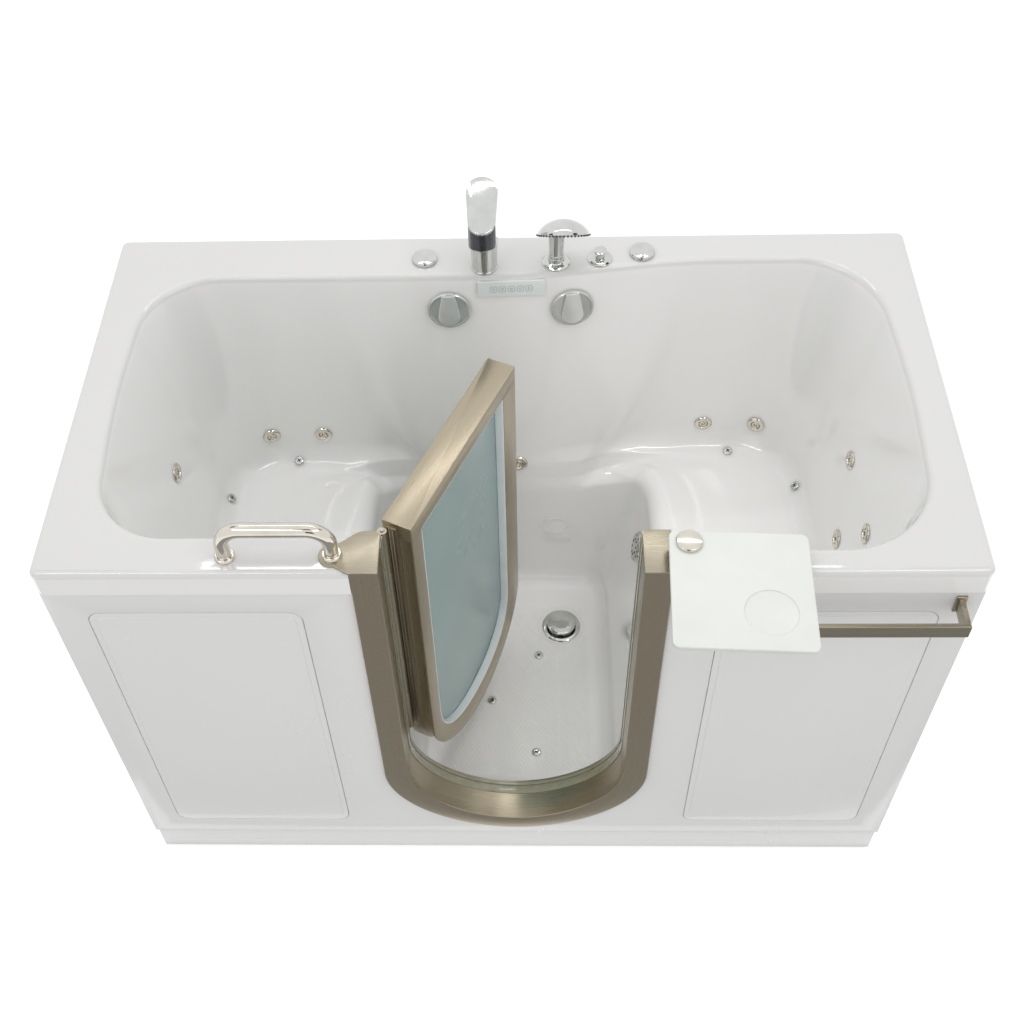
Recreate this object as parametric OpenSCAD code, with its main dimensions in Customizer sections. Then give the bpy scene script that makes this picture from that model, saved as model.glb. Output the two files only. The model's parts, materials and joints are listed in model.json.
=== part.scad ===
// Two-seat walk-in bathtub with a hinged U-shaped door in the middle of its front.
// X runs along the tub, Y from the front to the wall behind it, Z up from the floor.
// The origin is on the floor under the middle foot.

/* [Overall size] */
// Length of the tub along the wall
tub_length = 1524; // [1500:1:1560]
// Depth from the front to the wall
tub_depth = 810; // [800:1:840]
// Height of the deck above the floor
deck_height = 1016; // [1000:1:1040]
// Height of the lip that hangs down round the deck
lip_height = 55; // [45:1:65]
// Wall thickness of the moulded shell
shell_wall = 6; // [5:0.5:7]

/* [Basin] */
// Height of the seats above the floor
seat_height = 505; // [480:1:520]
// Height of the footwell's bottom above the floor
well_height = 100; // [96:1:108]
// Half the width of the footwell at its bottom
well_half = 215; // [205:1:222]
// Half the width of the footwell at the seats
well_half_top = 290; // [275:1:300]
// Depth of the dish in each seat
seat_dish = 8; // [3:1:10]
// How far the end walls lean in between the deck and the seats
end_lean = 88; // [60:1:100]

/* [Doorway] */
// Middle of the doorway along X
door_mid = 7; // [0:1:12]
// Half the width of the door frame over its outer edges
frame_half = 255.5; // [252:0.5:258]
// Width of the door frame's face
frame_face = 46; // [40:1:50]
// Height of the lowest point of the frame's outer edge
frame_bottom = 112; // [108:1:118]
// Thickness of the door
door_thick = 54; // [45:1:58]
// How far the door stands open at rest
door_open = 65.5; // [0:0.5:78]

/* [Fittings] */
// Radius of the grab bar's tube
grab_r = 12.2; // [10:0.1:14]
// Height of the grab bar's middle line above the deck
grab_rise = 69; // [55:1:80]
// Length of the towel bar
towel_length = 406; // [350:1:420]
// Side length of the swivel tray
tray_side = 216; // [180:1:225]
// Radius of a drain dial
dial_r = 42; // [36:1:46]
// Radius of a water jet's flange
jet_r = 19; // [15:1:22]

/* [Base] */
// Side of the square steel tubes
tube = 25; // [20:1:30]
// Height of the base rails' underside above the floor
rail_z = 45; // [40:1:46]

/* [Hidden] */
$fn = 48;

nickel = "#a79c88";
polished = "#c9c6bd";
acrylic = "#f2f2f1";

// ---- general helpers ----
function mix(a, b, t) = a + (b - a) * t;
function clamp01(t) = min(1, max(0, t));
function smooth(t) = let (u = clamp01(t)) u * u * (3 - 2 * u);
function unit2(v) = v / max(0.001, norm(v));
function flat(v) = [v.x, v.y];

// A slab whose outline is drawn in X and Z, standing between two Y positions
module slab_y(y0, y1) {
    translate([0, y1, 0]) rotate([90, 0, 0]) linear_extrude(y1 - y0) children();
}
// A box given by its two corners
module box(a, b) {
    translate(a) cube(b - a);
}
// A rectangle with round corners, given by two corners
module round_rect(a, b, r) {
    translate([a.x + r, a.y]) square([b.x - a.x - 2 * r, b.y - a.y]);
    translate([a.x, a.y + r]) square([b.x - a.x, b.y - a.y - 2 * r]);
    for (x = [a.x + r, b.x - r], y = [a.y + r, b.y - r]) translate([x, y]) circle(r);
}
// Turns what is drawn along +Z to point along -Y and up by the tilt
module facing_front(tilt = 0) {
    rotate([90 - tilt, 0, 0]) children();
}

// ---- rim and ring outlines of the moulded shell ----
half_l = tub_length / 2;
half_d = tub_depth / 2;
well_mid = [0, -20];

// Each corner of an outline: middle of its arc and its two radii,
// in the order back right, back left, front left, front right
rim_corners = [
    [half_l - 222, half_d - 240, 155, 164],
    [-half_l + 217, half_d - 255, 145, 140],
    [-half_l + 207, -half_d + 211, 130, 134],
    [half_l - 227, -half_d + 214, 160, 165]
];
function deck_corners(inset) = let (r = 15, x = half_l - r, y = half_d - r)
    [for (s = [[1, 1], [-1, 1], [-1, -1], [1, -1]]) [s.x * x, s.y * y, r - inset, r - inset]];
end_bow = 7;

corner_steps = 8;
long_steps = [0.07, 0.15, 0.22, 0.28, 0.33, 0.38, 0.44, 0.5, 0.56, 0.62, 0.67, 0.72, 0.78, 0.85, 0.93];
end_steps = [0.25, 0.5, 0.75];
function arc(c, from) = [for (i = [0:corner_steps])
    let (a = from + 90 * i / corner_steps) [c[0] + c[2] * cos(a), c[1] + c[3] * sin(a)]];
// One closed outline, anticlockwise from the right-hand end of the back right corner
function outline(c, bow) = let (
        a = [for (i = [0:3]) arc(c[i], 90 * i)],
        n = corner_steps
    ) concat(
        a[0],
        [for (t = long_steps) let (x = mix(a[0][n].x, a[1][0].x, t))
            [x, mix(a[1][0].y, a[0][n].y, smooth((x + 20) / 420))]],
        a[1],
        [for (t = end_steps) [mix(a[1][n].x, a[2][0].x, t) - bow * sin(180 * t), mix(a[1][n].y, a[2][0].y, t)]],
        a[2],
        [for (t = long_steps) let (x = mix(a[2][n].x, a[3][0].x, t))
            [x, mix(a[2][n].y, a[3][0].y, smooth((x - 257) / 230))]],
        a[3],
        [for (t = end_steps) [mix(a[3][n].x, a[0][0].x, t) + bow * sin(180 * t), mix(a[3][n].y, a[0][0].y, t)]]
    );
rim = outline(rim_corners, end_bow);
count = len(rim);

// ---- basin walls: a point of the rim outline carried down to a height ----
back_lean = 0.0294;
// The raised tongue on the back wall: half an ellipse with a steeper slope inside it
tongue_half = 320;
tongue_drop = 580;
tongue_slope = 0.088;
function tongue_share(x, z) = let (e = pow(x / tongue_half, 2) + pow((deck_height - 26 - z) / tongue_drop, 2))
    1 - smooth((e - 0.95) / 0.4);
function back_slope(x, z) = mix(back_lean, tongue_slope, tongue_share(x, z));
function wall_point(p, z) = let (drop = deck_height - z)
    [p.x * (1 - min(drop, deck_height - seat_height) * end_lean / (deck_height - seat_height) / 695),
     p.y > 0 ? p.y - drop * (p.y > 100 ? back_slope(p.x, z) : back_lean) : p.y + 0.006 * drop];
// The footwell's outline at a height, as a distance from its middle in a direction
well_power = 9;
well_back = 258;
well_front = 305.88;
function well_width(z) = mix(well_half, well_half_top, clamp01((z - well_height - 45) / (seat_height - well_height - 80)));
function well_radius(d, z) = let (w = well_width(z), b = d.y > 0 ? well_back : well_front)
    pow(pow(abs(d.x) / w, well_power) + pow(abs(d.y) / b, well_power), -1 / well_power);
function well_point(p, z) = let (
        q = wall_point(p, z) - well_mid,
        d = unit2(q)
    ) well_mid + d * min(norm(q), well_radius(d, z));

// ---- rings of the shell's inner face, from the rim down to the footwell ----
rim_r = 9;
cove_r = 45;
edge_r = 35;
// Each row: height over a seat, height on a plain wall, turn of the cove, part way over the seat, turn of the edge
ring_rows = [
    [deck_height, deck_height], [deck_height - 2.6, deck_height - 2.6], [deck_height - rim_r, deck_height - rim_r],
    [900, 900], [790, 790], [690, 700], [610, 620],
    [seat_height + cove_r, 560], [0, 545, 30], [0, 530, 60], [0, 515, 90],
    [0, 500, 90, 0.33], [0, 485, 90, 0.67],
    [0, 470, 90, 1, 0], [0, 455, 90, 1, 30], [0, 440, 90, 1, 60], [0, 425, 90, 1, 90]
];
function rim_spread(k) = k == 0 ? rim_r : k == 1 ? 2.6 : 0;
function ring_point(k, j) = let (
        row = ring_rows[k],
        seat_edge = wall_point(rim[j], seat_height),
        wide = norm(seat_edge - well_point(rim[j], seat_height - edge_r)),
        share = smooth((wide - 40) / 120),
        cove = min(cove_r, 0.4 * wide),
        edge = min(edge_r, 0.4 * wide),
        turn = len(row) > 2 ? row[2] : 0,
        over = len(row) > 3 ? row[3] : 0,
        roll = len(row) > 4 ? row[4] : 0,
        seat_z = len(row) < 3 ? row[0] :
            seat_height + cove_r * (1 - sin(turn)) - edge_r * (1 - cos(roll))
            - (len(row) == 4 ? seat_dish : 0),
        z = mix(row[1], seat_z, share),
        reach = cove * (1 - cos(turn)) + over * (wide - cove - edge) + edge * sin(roll),
        start = wall_point(rim[j], max(z, seat_height)),
        inward = unit2(well_point(rim[j], seat_height - edge_r) - seat_edge),
        s = rim_spread(k),
        spread = [start.x * (1 + s / 695), start.y * (1 + s / 310)],
        q = spread + inward * reach
    ) [q.x, q.y, z];
well_rows = [[400, 0], [270, 0], [well_height + cove_r, 0], [well_height + 0.5 * cove_r, 0.134],
    [well_height + 0.134 * cove_r, 0.5], [well_height, 1]];
function well_ring_point(row, j) = let (
        p = well_point(rim[j], row[0]),
        inward = unit2(well_mid - p),
        q = p + inward * row[1] * cove_r
    ) [q.x, q.y, row[0]];
inner_rings = concat(
    [for (k = [0:len(ring_rows) - 1]) [for (j = [0:count - 1]) ring_point(k, j)]],
    [for (row = well_rows) [for (j = [0:count - 1]) well_ring_point(row, j)]]
);
// How far each ring's outward side has turned from level to straight down
ring_turn = [0, 0, 0, 0, 0, 0, 0, 5, 30, 60, 88, 90, 90, 88, 60, 35, 12, 6, 6, 10, 35, 65, 90];
function side(ring, j) = let (
        a = ring[(j + count - 1) % count],
        b = ring[(j + 1) % count],
        t = unit2(flat(b) - flat(a))
    ) [t.y, -t.x];
function skin_point(k, j) = let (
        ring = inner_rings[k],
        p = ring[j],
        wide = norm(wall_point(rim[j], seat_height) - well_point(rim[j], seat_height - edge_r)),
        share = k > 6 && k < 17 ? smooth((wide - 40) / 120) : 1,
        turn = ring_turn[k] * share,
        n = side(ring, j)
    ) [p.x + n.x * shell_wall * cos(turn), p.y + n.y * shell_wall * cos(turn), p.z - shell_wall * sin(turn)];
skin_ks = [2, 4, 6, 8, 9, 10, 11, 12, 13, 14, 16, 18, 19, 20, 21, 22];
outer_rings = [for (k = skin_ks) [for (j = [0:count - 1]) skin_point(k, j)]];
function deck_ring(inset, z) = [for (p = outline(deck_corners(inset), 0)) [p.x, p.y, z]];
lip_z = deck_height - lip_height;
function reversed(v) = [for (i = [len(v) - 1:-1:0]) v[i]];
shell_rings = concat(
    reversed(inner_rings),
    [deck_ring(9, deck_height), deck_ring(2.6, deck_height - 2.6), deck_ring(0, deck_height - 9),
     deck_ring(0, lip_z), deck_ring(shell_wall, lip_z), deck_ring(shell_wall, deck_height - shell_wall)],
    [[for (j = [0:count - 1]) let (p = skin_point(2, j), n = side(inner_rings[2], j))
        [p.x + 3 * n.x, p.y + 3 * n.y, deck_height - shell_wall]]],
    outer_rings
);

// A closed skin through a list of rings of equal length, with a middle point at each end
module loft(rings, first, last) {
    n = len(rings[0]);
    m = len(rings);
    points = concat([for (r = rings) each r], [first, last]);
    sides = [for (i = [0:m - 2], j = [0:n - 1]) let (
            a = i * n + j, b = i * n + (j + 1) % n, c = a + n, d = b + n
        ) each [[a, b, d], [a, d, c]]];
    start = [for (j = [0:n - 1]) [m * n, (j + 1) % n, j]];
    end = [for (j = [0:n - 1]) [m * n + 1, (m - 1) * n + j, (m - 1) * n + (j + 1) % n]];
    polyhedron(points, concat(sides, start, end), convexity = 12);
}

// Places of what is fitted to the basin, as X and Z on the back wall or Y and Z on an end wall
function wall_spread(z) = 1 - (deck_height - z) * end_lean / (deck_height - seat_height) / 695;
function round_off(x, c, s) = let (u = max(0, s * (x - c[0]) / c[2])) c[3] * (1 - sqrt(1 - u * u));
function back_wall_y(x, z) = let (rx = x / wall_spread(z))
    mix(half_d - 115, half_d - 76, smooth((rx + 20) / 420)) - back_slope(rx, z) * (deck_height - z)
    - round_off(rx, rim_corners[0], 1) - round_off(rx, rim_corners[1], -1);
function back_yaw(x, z) = atan((back_wall_y(x + 5, z) - back_wall_y(x - 5, z)) / 10);
function end_wall_x(s, y, z) = let (
        b = s > 0 ? rim_corners[0] : rim_corners[1],
        f = s > 0 ? rim_corners[3] : rim_corners[2],
        t = (y - f[1]) / (b[1] - f[1])
    ) (mix(f[0] + s * f[2], b[0] + s * b[2], t) + s * end_bow * sin(180 * t)) * wall_spread(z);
function end_yaw(s, y, z) = atan((end_wall_x(s, y + 5, z) - end_wall_x(s, y - 5, z)) / 10);
end_tilt = atan(end_lean / (deck_height - seat_height));
back_tilt = atan(back_lean);
tongue_tilt = atan(tongue_slope);
// X, Z, stand-off and tilt on the back wall
back_jets = [[-516, 581, 1.2, back_tilt], [-404, 581, 0, back_tilt], [413, 565, 0, back_tilt],
    [525, 570, 1.6, 4], [15, 518, 2.6, 9]];
// Side, Y and Z on the end walls
end_jets = [[1, 51, 749], [1, -47, 628], [1, -130, 754], [-1, 30, 748]];
// Places on the coves round the seats with their tilts about X and Y, and X and Y on the footwell's bottom
seat_air = [[-464, 260, 512.5, 25, 0], [-596, 145, 525, 0, 41], [469, 285, 507, 17.5, 0], [598, 171, 524, 0, -41]];
well_air = [[57, 21], [-49, -97], [50, -226]];
dials = [[-116, 938], [122, 932]];
drains = [[-110, 100], [110, 100]];
// Y and Z of the suction cover on the right seat's riser
suction_at = [105, 400];
riser_x = well_width(suction_at[1]);
riser_tilt = atan((well_half_top - well_half) / (seat_height - well_height - 80));
// X, Y and shank radius of what stands on the deck
left_valve_at = [-161, 336, 12];
spout_at = [-46, 324, 12];
shower_at = [91, 326, 13];
diverter_at = [175, 334, 11];
right_valve_at = [256, 348, 12];
tray_at = [285, -371, 6];
bar_feet = [[-449, -370, 4], [-277, -370, 4]];
deck_holes = concat([left_valve_at, spout_at, shower_at, diverter_at, right_valve_at, tray_at], bar_feet);
back_hole = 13;
dial_hole = 17;
drain_hole = 24;
air_hole = 6;

module on_back_wall(x, z, tilt) {
    translate([x, back_wall_y(x, z), z]) rotate(back_yaw(x, z)) facing_front(tilt) children();
}
module at_back_jets() {
    for (p = back_jets) on_back_wall(p[0], p[1], p[3]) translate([0, 0, p[2]]) children();
}
module at_end_jets() {
    for (p = end_jets) translate([end_wall_x(p[0], p[1], p[2]), p[1], p[2]])
        rotate(-end_yaw(p[0], p[1], p[2])) rotate([0, -p[0] * (90 - end_tilt), 0]) children();
}
module at_seat_air() {
    for (p = seat_air) translate([p.x, p.y, p.z]) rotate([p[3], p[4], 0]) children();
}
module at_dial(i) on_back_wall(dials[i][0], dials[i][1], tongue_tilt) children();
module at_suction() {
    translate([riser_x, suction_at[0], suction_at[1]]) rotate([0, -90 + riser_tilt, 0]) children();
}
// Everything that swings with the door, turned about the hinge line
hinge_at = [-203, -309];
module with_door() {
    translate(hinge_at) rotate(door_open) translate(-hinge_at) children();
}

// ---- door frame outlines ----
// The lower half of a superellipse under two straight sides, drawn in X and Z
module u_outline(mid, half, drop, top, z_mid, power = 1.9) {
    polygon(concat(
        [[mid + half, top]],
        [for (a = [0:7.5:180]) let (c = cos(a), s = sin(a))
            [mid + half * sign(c) * pow(abs(c), 2 / power), z_mid - drop * pow(s, 2 / power)]],
        [[mid - half, top]]
    ));
}
throat_half = frame_half - frame_face;
throat_bottom = frame_bottom + frame_face - 1;
module frame_outside(grow = 0, top = deck_height) {
    u_outline(door_mid, frame_half + grow, 342 - frame_bottom + grow, top, 342);
}
module frame_throat(shrink = 0, top = deck_height + 50) {
    u_outline(door_mid, throat_half - shrink, 365 - throat_bottom - shrink, top, 365);
}
frame_front = -half_d - 1;
frame_back = -half_d + 83;

// ---- moulded shell and skirts ----
module tub_shell() {
    color(acrylic) difference() {
        loft(shell_rings, [well_mid.x, well_mid.y, well_height], [well_mid.x, well_mid.y, well_height - shell_wall]);
        slab_y(-half_d - 20, frame_back + 3) frame_outside(0.8, deck_height + 40);
        slab_y(frame_back, door_y[1] + 1.5) door_outline(deck_height + 40, 5);
        box([post_x[0] - 0.8, frame_back, knuckle_z[0] - 2], [hinge_at.x + 10, frame_back + 9.5, deck_height + 40]);
        for (p = drains) translate([p.x, p.y, well_height - 20]) cylinder(h = 40, r = drain_hole + 1, $fn = 24);
        at_back_jets() translate([0, 0, -30]) cylinder(h = 60, r = back_hole + 0.5, $fn = 16);
        at_end_jets() translate([0, 0, -30]) cylinder(h = 60, r = back_hole + 0.5, $fn = 16);
        at_suction() translate([0, 0, -30]) cylinder(h = 60, r = 25, $fn = 20);
        for (i = [0, 1]) at_dial(i) translate([0, 0, -30]) cylinder(h = 60, r = dial_hole, $fn = 20);
        for (p = well_air) translate([p.x, p.y, well_height - 20]) cylinder(h = 40, r = air_hole + 0.5, $fn = 13);
        at_seat_air() translate([0, 0, -20]) cylinder(h = 40, r = air_hole + 0.5, $fn = 13);
        for (p = deck_holes) translate([p.x, p.y, deck_height - 30]) cylinder(h = 60, r = p.z + 1, $fn = 16);
    }
}

apron_y = -half_d + 5;
apron_t = 8;
end_x = half_l - 3;
skirt_z = [81, lip_z - 0.5];
panel_z = [136, 900];
left_panel_x = [-697, -340];
right_panel_x = [350, 701];
panel_t = 3.7;
module panel_outline(xs, grow) {
    round_rect([xs[0] - grow, panel_z[0] - grow], [xs[1] + grow, panel_z[1] + grow], 24 + grow);
}
module front_apron() {
    color(acrylic) difference() {
        slab_y(apron_y, apron_y + apron_t)
            translate([-end_x, skirt_z[0]]) square([2 * end_x, skirt_z[1] - skirt_z[0]]);
        slab_y(apron_y - 10, apron_y + 20) frame_outside(0.8, deck_height + 40);
        for (xs = [left_panel_x, right_panel_x]) {
            slab_y(apron_y - 1, apron_y + panel_t + 0.1) panel_outline(xs, 1.5);
            slab_y(apron_y - 1, apron_y + apron_t + 1) panel_outline(xs, -10);
        }
    }
}
// A lift-off panel: a plate with a raised field, on the apron's ledge
module access_panel(xs) {
    color(acrylic) {
        slab_y(apron_y, apron_y + panel_t) panel_outline(xs, 0);
        slab_y(apron_y - 1.2, apron_y + 0.1) panel_outline(xs, -11);
    }
}
module left_access_panel() access_panel(left_panel_x);
module right_access_panel() access_panel(right_panel_x);
// Round magnets behind each panel's corners, inside the ledge
module panel_magnets() {
    color("dimgray") for (xs = [left_panel_x, right_panel_x], x = [xs[0] + 34, xs[1] - 34], z = [panel_z[0] + 34, panel_z[1] - 34])
        translate([x, apron_y + panel_t + 6, z]) facing_front() cylinder(h = 6, r = 8);
}
module end_panel(side) {
    color(acrylic) box([min(side * end_x, side * (end_x - 6)), apron_y + apron_t + 0.3, skirt_z[0]],
        [max(side * end_x, side * (end_x - 6)), half_d - 1, skirt_z[1]]);
}
module left_end_panel() end_panel(-1);
module right_end_panel() end_panel(1);
// Kick board along the front and both ends, set back from the skirts
module plinth() {
    y = apron_y + 3;
    x = end_x - 4;
    color(acrylic) {
        box([-x, y, 2], [x, y + 6, skirt_z[0] - 0.5]);
        for (s = [-1, 1]) box([min(s * x, s * (x - 6)), y, 2], [max(s * x, s * (x - 6)), half_d - 1, skirt_z[0] - 0.5]);
    }
}

// ---- door frame ----
post_x = [door_mid - frame_half, door_mid - throat_half, door_mid + throat_half, door_mid + frame_half];
cap_z = deck_height + 0.3;
cap_t = 4.2;
module frame_band(outer, inner, top) {
    difference() {
        frame_outside(-outer, top);
        frame_throat(-inner, top + 20);
    }
}
// A folded box section, open at the top of both posts
module door_frame() {
    color(nickel) difference() {
        slab_y(frame_front, frame_back) frame_band(0, 0, deck_height);
        slab_y(frame_front + 4, frame_back - 4) frame_band(4, 4, deck_height + 10);
    }
}
module frame_seal() {
    color("#d9dcc9") slab_y(frame_back - 30, frame_back - 4) difference() {
        frame_throat(0.05, deck_height - 3);
        frame_throat(1.6, deck_height + 10);
    }
}
// The left cap sweeps out to a round lobe under the grab bar's foot
module left_post_cap() {
    foot = bar_feet[1];
    x0 = post_x[0] - 0.5;
    x1 = post_x[1];
    r = 12;
    back = frame_back;
    steps = [0:0.125:1];
    color(nickel) translate([0, 0, cap_z]) linear_extrude(cap_t) difference() {
        union() {
            polygon(concat(
                [for (t = steps) [mix(foot.x, x0 + 3, t), mix(foot.y - 21, frame_front - 1, smooth(t))]],
                [[x1, frame_front - 1]],
                [for (a = [0:15:90]) [x1 - r + r * cos(a), back - r + r * sin(a)]],
                [for (t = steps) [mix(x0 + 20, foot.x, t), mix(back, foot.y + 21, smooth(t))]]
            ));
            translate([foot.x, foot.y]) circle(22);
        }
        translate([foot.x, foot.y]) circle(foot.z + 1);
    }
}
module right_post_cap() {
    r = 11;
    x0 = post_x[2];
    x1 = post_x[3] + 0.5;
    color(nickel) translate([0, 0, cap_z]) linear_extrude(cap_t) polygon(concat(
        [[x0, frame_front - 1], [x1, frame_front - 1], [x1, frame_back]],
        [for (a = [90:15:180]) [x0 + r + r * cos(a), frame_back - r + r * sin(a)]]
    ));
}

// ---- hinge ----
knuckle_z = [370, 500, 630, 760, 890, 1004];
knuckle_r = 8.5;
pin_r = 3.5;
module knuckles(first) {
    for (i = [first:2:4]) translate([hinge_at.x, hinge_at.y, knuckle_z[i] + 0.25])
        difference() {
            union() {
                cylinder(h = knuckle_z[i + 1] - knuckle_z[i] - 0.5, r = knuckle_r);
                children();
            }
            translate([0, 0, -1]) cylinder(h = 200, r = pin_r + 0.05);
        }
}
module hinge_post_leaf() {
    tall = knuckle_z[1] - knuckle_z[0] - 0.5;
    color(nickel) {
        knuckles(0) translate([-14, frame_back - hinge_at.y + 0.1, 0]) cube([9, 8, 113.5]);
        box([post_x[0] + 3, frame_back + 0.1, knuckle_z[0]], [hinge_at.x - 10, frame_back + 3.5, knuckle_z[5]]);
    }
}
module hinge_pin() {
    color("silver") translate([hinge_at.x, hinge_at.y, knuckle_z[0] - 2]) cylinder(h = knuckle_z[5] - knuckle_z[0] + 4, r = pin_r);
}

// ---- door ----
door_x = [hinge_at.x + 12, door_mid + throat_half - 4.5];
door_y = [hinge_at.y + 6 - door_thick, hinge_at.y + 6];
glass_y = door_y[0] + 17;
glass_t = 6;
module door_outline(top = deck_height, grow = 0) {
    u_outline((door_x[0] + door_x[1]) / 2, (door_x[1] - door_x[0]) / 2 + grow, 360 - throat_bottom + grow, top, 365);
}
module glass_outline(shrink, top = 0) {
    x0 = door_x[0] + 33;
    x1 = door_x[1] - 50;
    u_outline((x0 + x1) / 2, (x1 - x0) / 2 - shrink, 165 - shrink, deck_height - 36 - shrink + top, 390, 2.2);
}
// The channel runs round the door's edge under its top bar
channel_y = [door_y[0] + 5, door_y[0] + 28];
channel_deep = 7;
module door_panel() {
    color(nickel) with_door() difference() {
        slab_y(door_y[0], door_y[1]) door_outline();
        slab_y(door_y[0] - 1, door_y[1] + 1) glass_outline(0);
        slab_y(channel_y[0], channel_y[1]) difference() {
            door_outline(deck_height - 30, 2);
            door_outline(deck_height, -channel_deep);
        }
    }
}
module door_glass() {
    color([0.55, 0.68, 0.68, 0.8]) with_door() slab_y(glass_y, glass_y + glass_t) glass_outline(0.3);
}
module glazing_gaskets() {
    color("white") with_door() for (ys = [[door_y[0] + 1, glass_y - 0.1], [glass_y + glass_t + 0.1, door_y[1] - 1]])
        slab_y(ys[0], ys[1]) difference() {
            glass_outline(0.1);
            glass_outline(3);
        }
}
// The door's half of the hinge: a grooved profile on the door's end, with its knuckles
module hinge_door_leaf() {
    z = [knuckle_z[0] + 4, knuckle_z[5]];
    color(nickel) with_door() {
        knuckles(1) translate([5, -1, 0]) cube([door_x[0] - 0.1 - hinge_at.x - 5, 7, 129.5]);
        translate([0, 0, z[0]]) linear_extrude(z[1] - z[0]) difference() {
            translate([door_x[0] - 3.1, channel_y[1] + 1]) square([3, door_y[1] - 4 - channel_y[1] - 1]);
            for (y = [channel_y[1] + 6, channel_y[1] + 12]) translate([door_x[0] - 3.6, y]) circle(1.6, $fn = 20);
        }
    }
}

// ---- rails and tray ----
bar_z = deck_height + grab_rise;
bend_r = 36;
module ring2d(r, wall) {
    difference() {
        circle(r);
        circle(r - wall);
    }
}
module grab_bar() {
    x0 = bar_feet[0].x;
    x1 = bar_feet[1].x;
    leg = grab_rise - bend_r - 5;
    color(polished) translate([0, bar_feet[0].y, deck_height + 5]) {
        for (x = [x0, x1]) translate([x, 0, 0]) linear_extrude(leg) ring2d(grab_r, 1.5);
        translate([x0 + bend_r, 0, leg + bend_r]) rotate([0, 90, 0]) linear_extrude(x1 - x0 - 2 * bend_r) ring2d(grab_r, 1.5);
        translate([x0 + bend_r, 0, leg]) rotate([90, 0, 0]) rotate([0, 0, 90]) rotate_extrude(angle = 90)
            translate([bend_r, 0]) ring2d(grab_r, 1.5);
        translate([x1 - bend_r, 0, leg]) rotate([90, 0, 0]) rotate_extrude(angle = 90)
            translate([bend_r, 0]) ring2d(grab_r, 1.5);
    }
}
module grab_bar_collars() {
    color(polished) for (i = [0, 1]) {
        base = i == 0 ? deck_height + 0.3 : cap_z + cap_t + 0.1;
        translate([bar_feet[i].x, bar_feet[i].y, 0]) {
            difference() {
                translate([0, 0, base]) rotate_extrude() polygon([[0, 0], [16.5, 0], [16.5, 3], [15, 6], [14, 6.5], [0, 6.5]]);
                translate([0, 0, deck_height + 4.95]) cylinder(h = 20, r = grab_r + 0.05);
            }
            translate([0, 0, deck_height - 22]) cylinder(h = base - deck_height + 22, r = bar_feet[i].z);
        }
    }
}
towel_x = [729 - towel_length, 729];
towel_y = -457;
towel_z = [912, 941];
module towel_bar() {
    color(nickel) {
        box([towel_x[0], towel_y, towel_z[0]], [towel_x[1], towel_y + 8, towel_z[1]]);
        for (x = [towel_x[0], towel_x[1] - 9])
            box([x, towel_y + 7, towel_z[0]], [x + 9, apron_y - 4.2, towel_z[1]]);
    }
}
module towel_bar_plates() {
    color(nickel) for (x = [towel_x[0] - 4.5, towel_x[1] - 13.5])
        box([x, apron_y - 4.2, 906], [x + 18, apron_y - 0.2, 946]);
}
tray_z = deck_height + 26;
tray_t = 9;
tray_turn = -2.5;
module tray_pivot() {
    color(polished) translate([tray_at.x, tray_at.y, 0]) {
        translate([0, 0, deck_height + 0.3]) cylinder(h = 4, r = 19);
        translate([0, 0, deck_height + 0.3]) cylinder(h = 25.4, r = 11);
        translate([0, 0, deck_height - 24]) cylinder(h = 24 + 26 + tray_t - 0.1, r = tray_at.z);
    }
}
module tray_plate() {
    mid = [358, -459];
    color("#f4f6f2") difference() {
        translate([mid.x, mid.y, tray_z]) rotate(tray_turn) linear_extrude(tray_t)
            round_rect([-tray_side / 2, -tray_side / 2], [tray_side / 2, tray_side / 2], 12);
        translate([tray_at.x, tray_at.y, tray_z - 1]) cylinder(h = tray_t + 2, r = tray_at.z + 0.05);
        translate([397, -502, tray_z + tray_t - 2]) cylinder(h = 5, r = 41);
    }
}
module tray_knob() {
    color(polished) translate([tray_at.x, tray_at.y, tray_z + tray_t + 0.1])
        rotate_extrude() polygon([[0, 0], [21, 0], [21, 5], [19.5, 7], [0, 8.5]]);
}

// ---- deck fittings ----
deck_under = deck_height - shell_wall;
// Tall spout whose flat top falls forward over the basin
module spout() {
    rear = 27.5;
    front = 22;
    reach = 64;
    nose = -reach - front;
    color(polished) translate([spout_at.x, spout_at.y, 0]) {
        translate([0, 0, deck_height + 0.3]) cylinder(h = 100, r = rear - 3);
        intersection() {
            translate([-40, 0, 0]) rotate([90, 0, 90]) linear_extrude(80) polygon([
                [rear + 2, 1085], [rear + 2, 1201], [nose - 2, 1162], [nose + 4, 1120], [-42, 1110], [-23, 1085]
            ]);
            translate([0, 0, 1070]) linear_extrude(150) {
                circle(rear);
                translate([0, -reach]) circle(front);
                polygon([[0.2 - rear, 0], [rear - 0.2, 0], [front - 0.2, -reach], [0.2 - front, -reach]]);
            }
        }
        translate([0, 0, deck_height - 44]) cylinder(h = 44.5, r = spout_at.z);
    }
}
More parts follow.
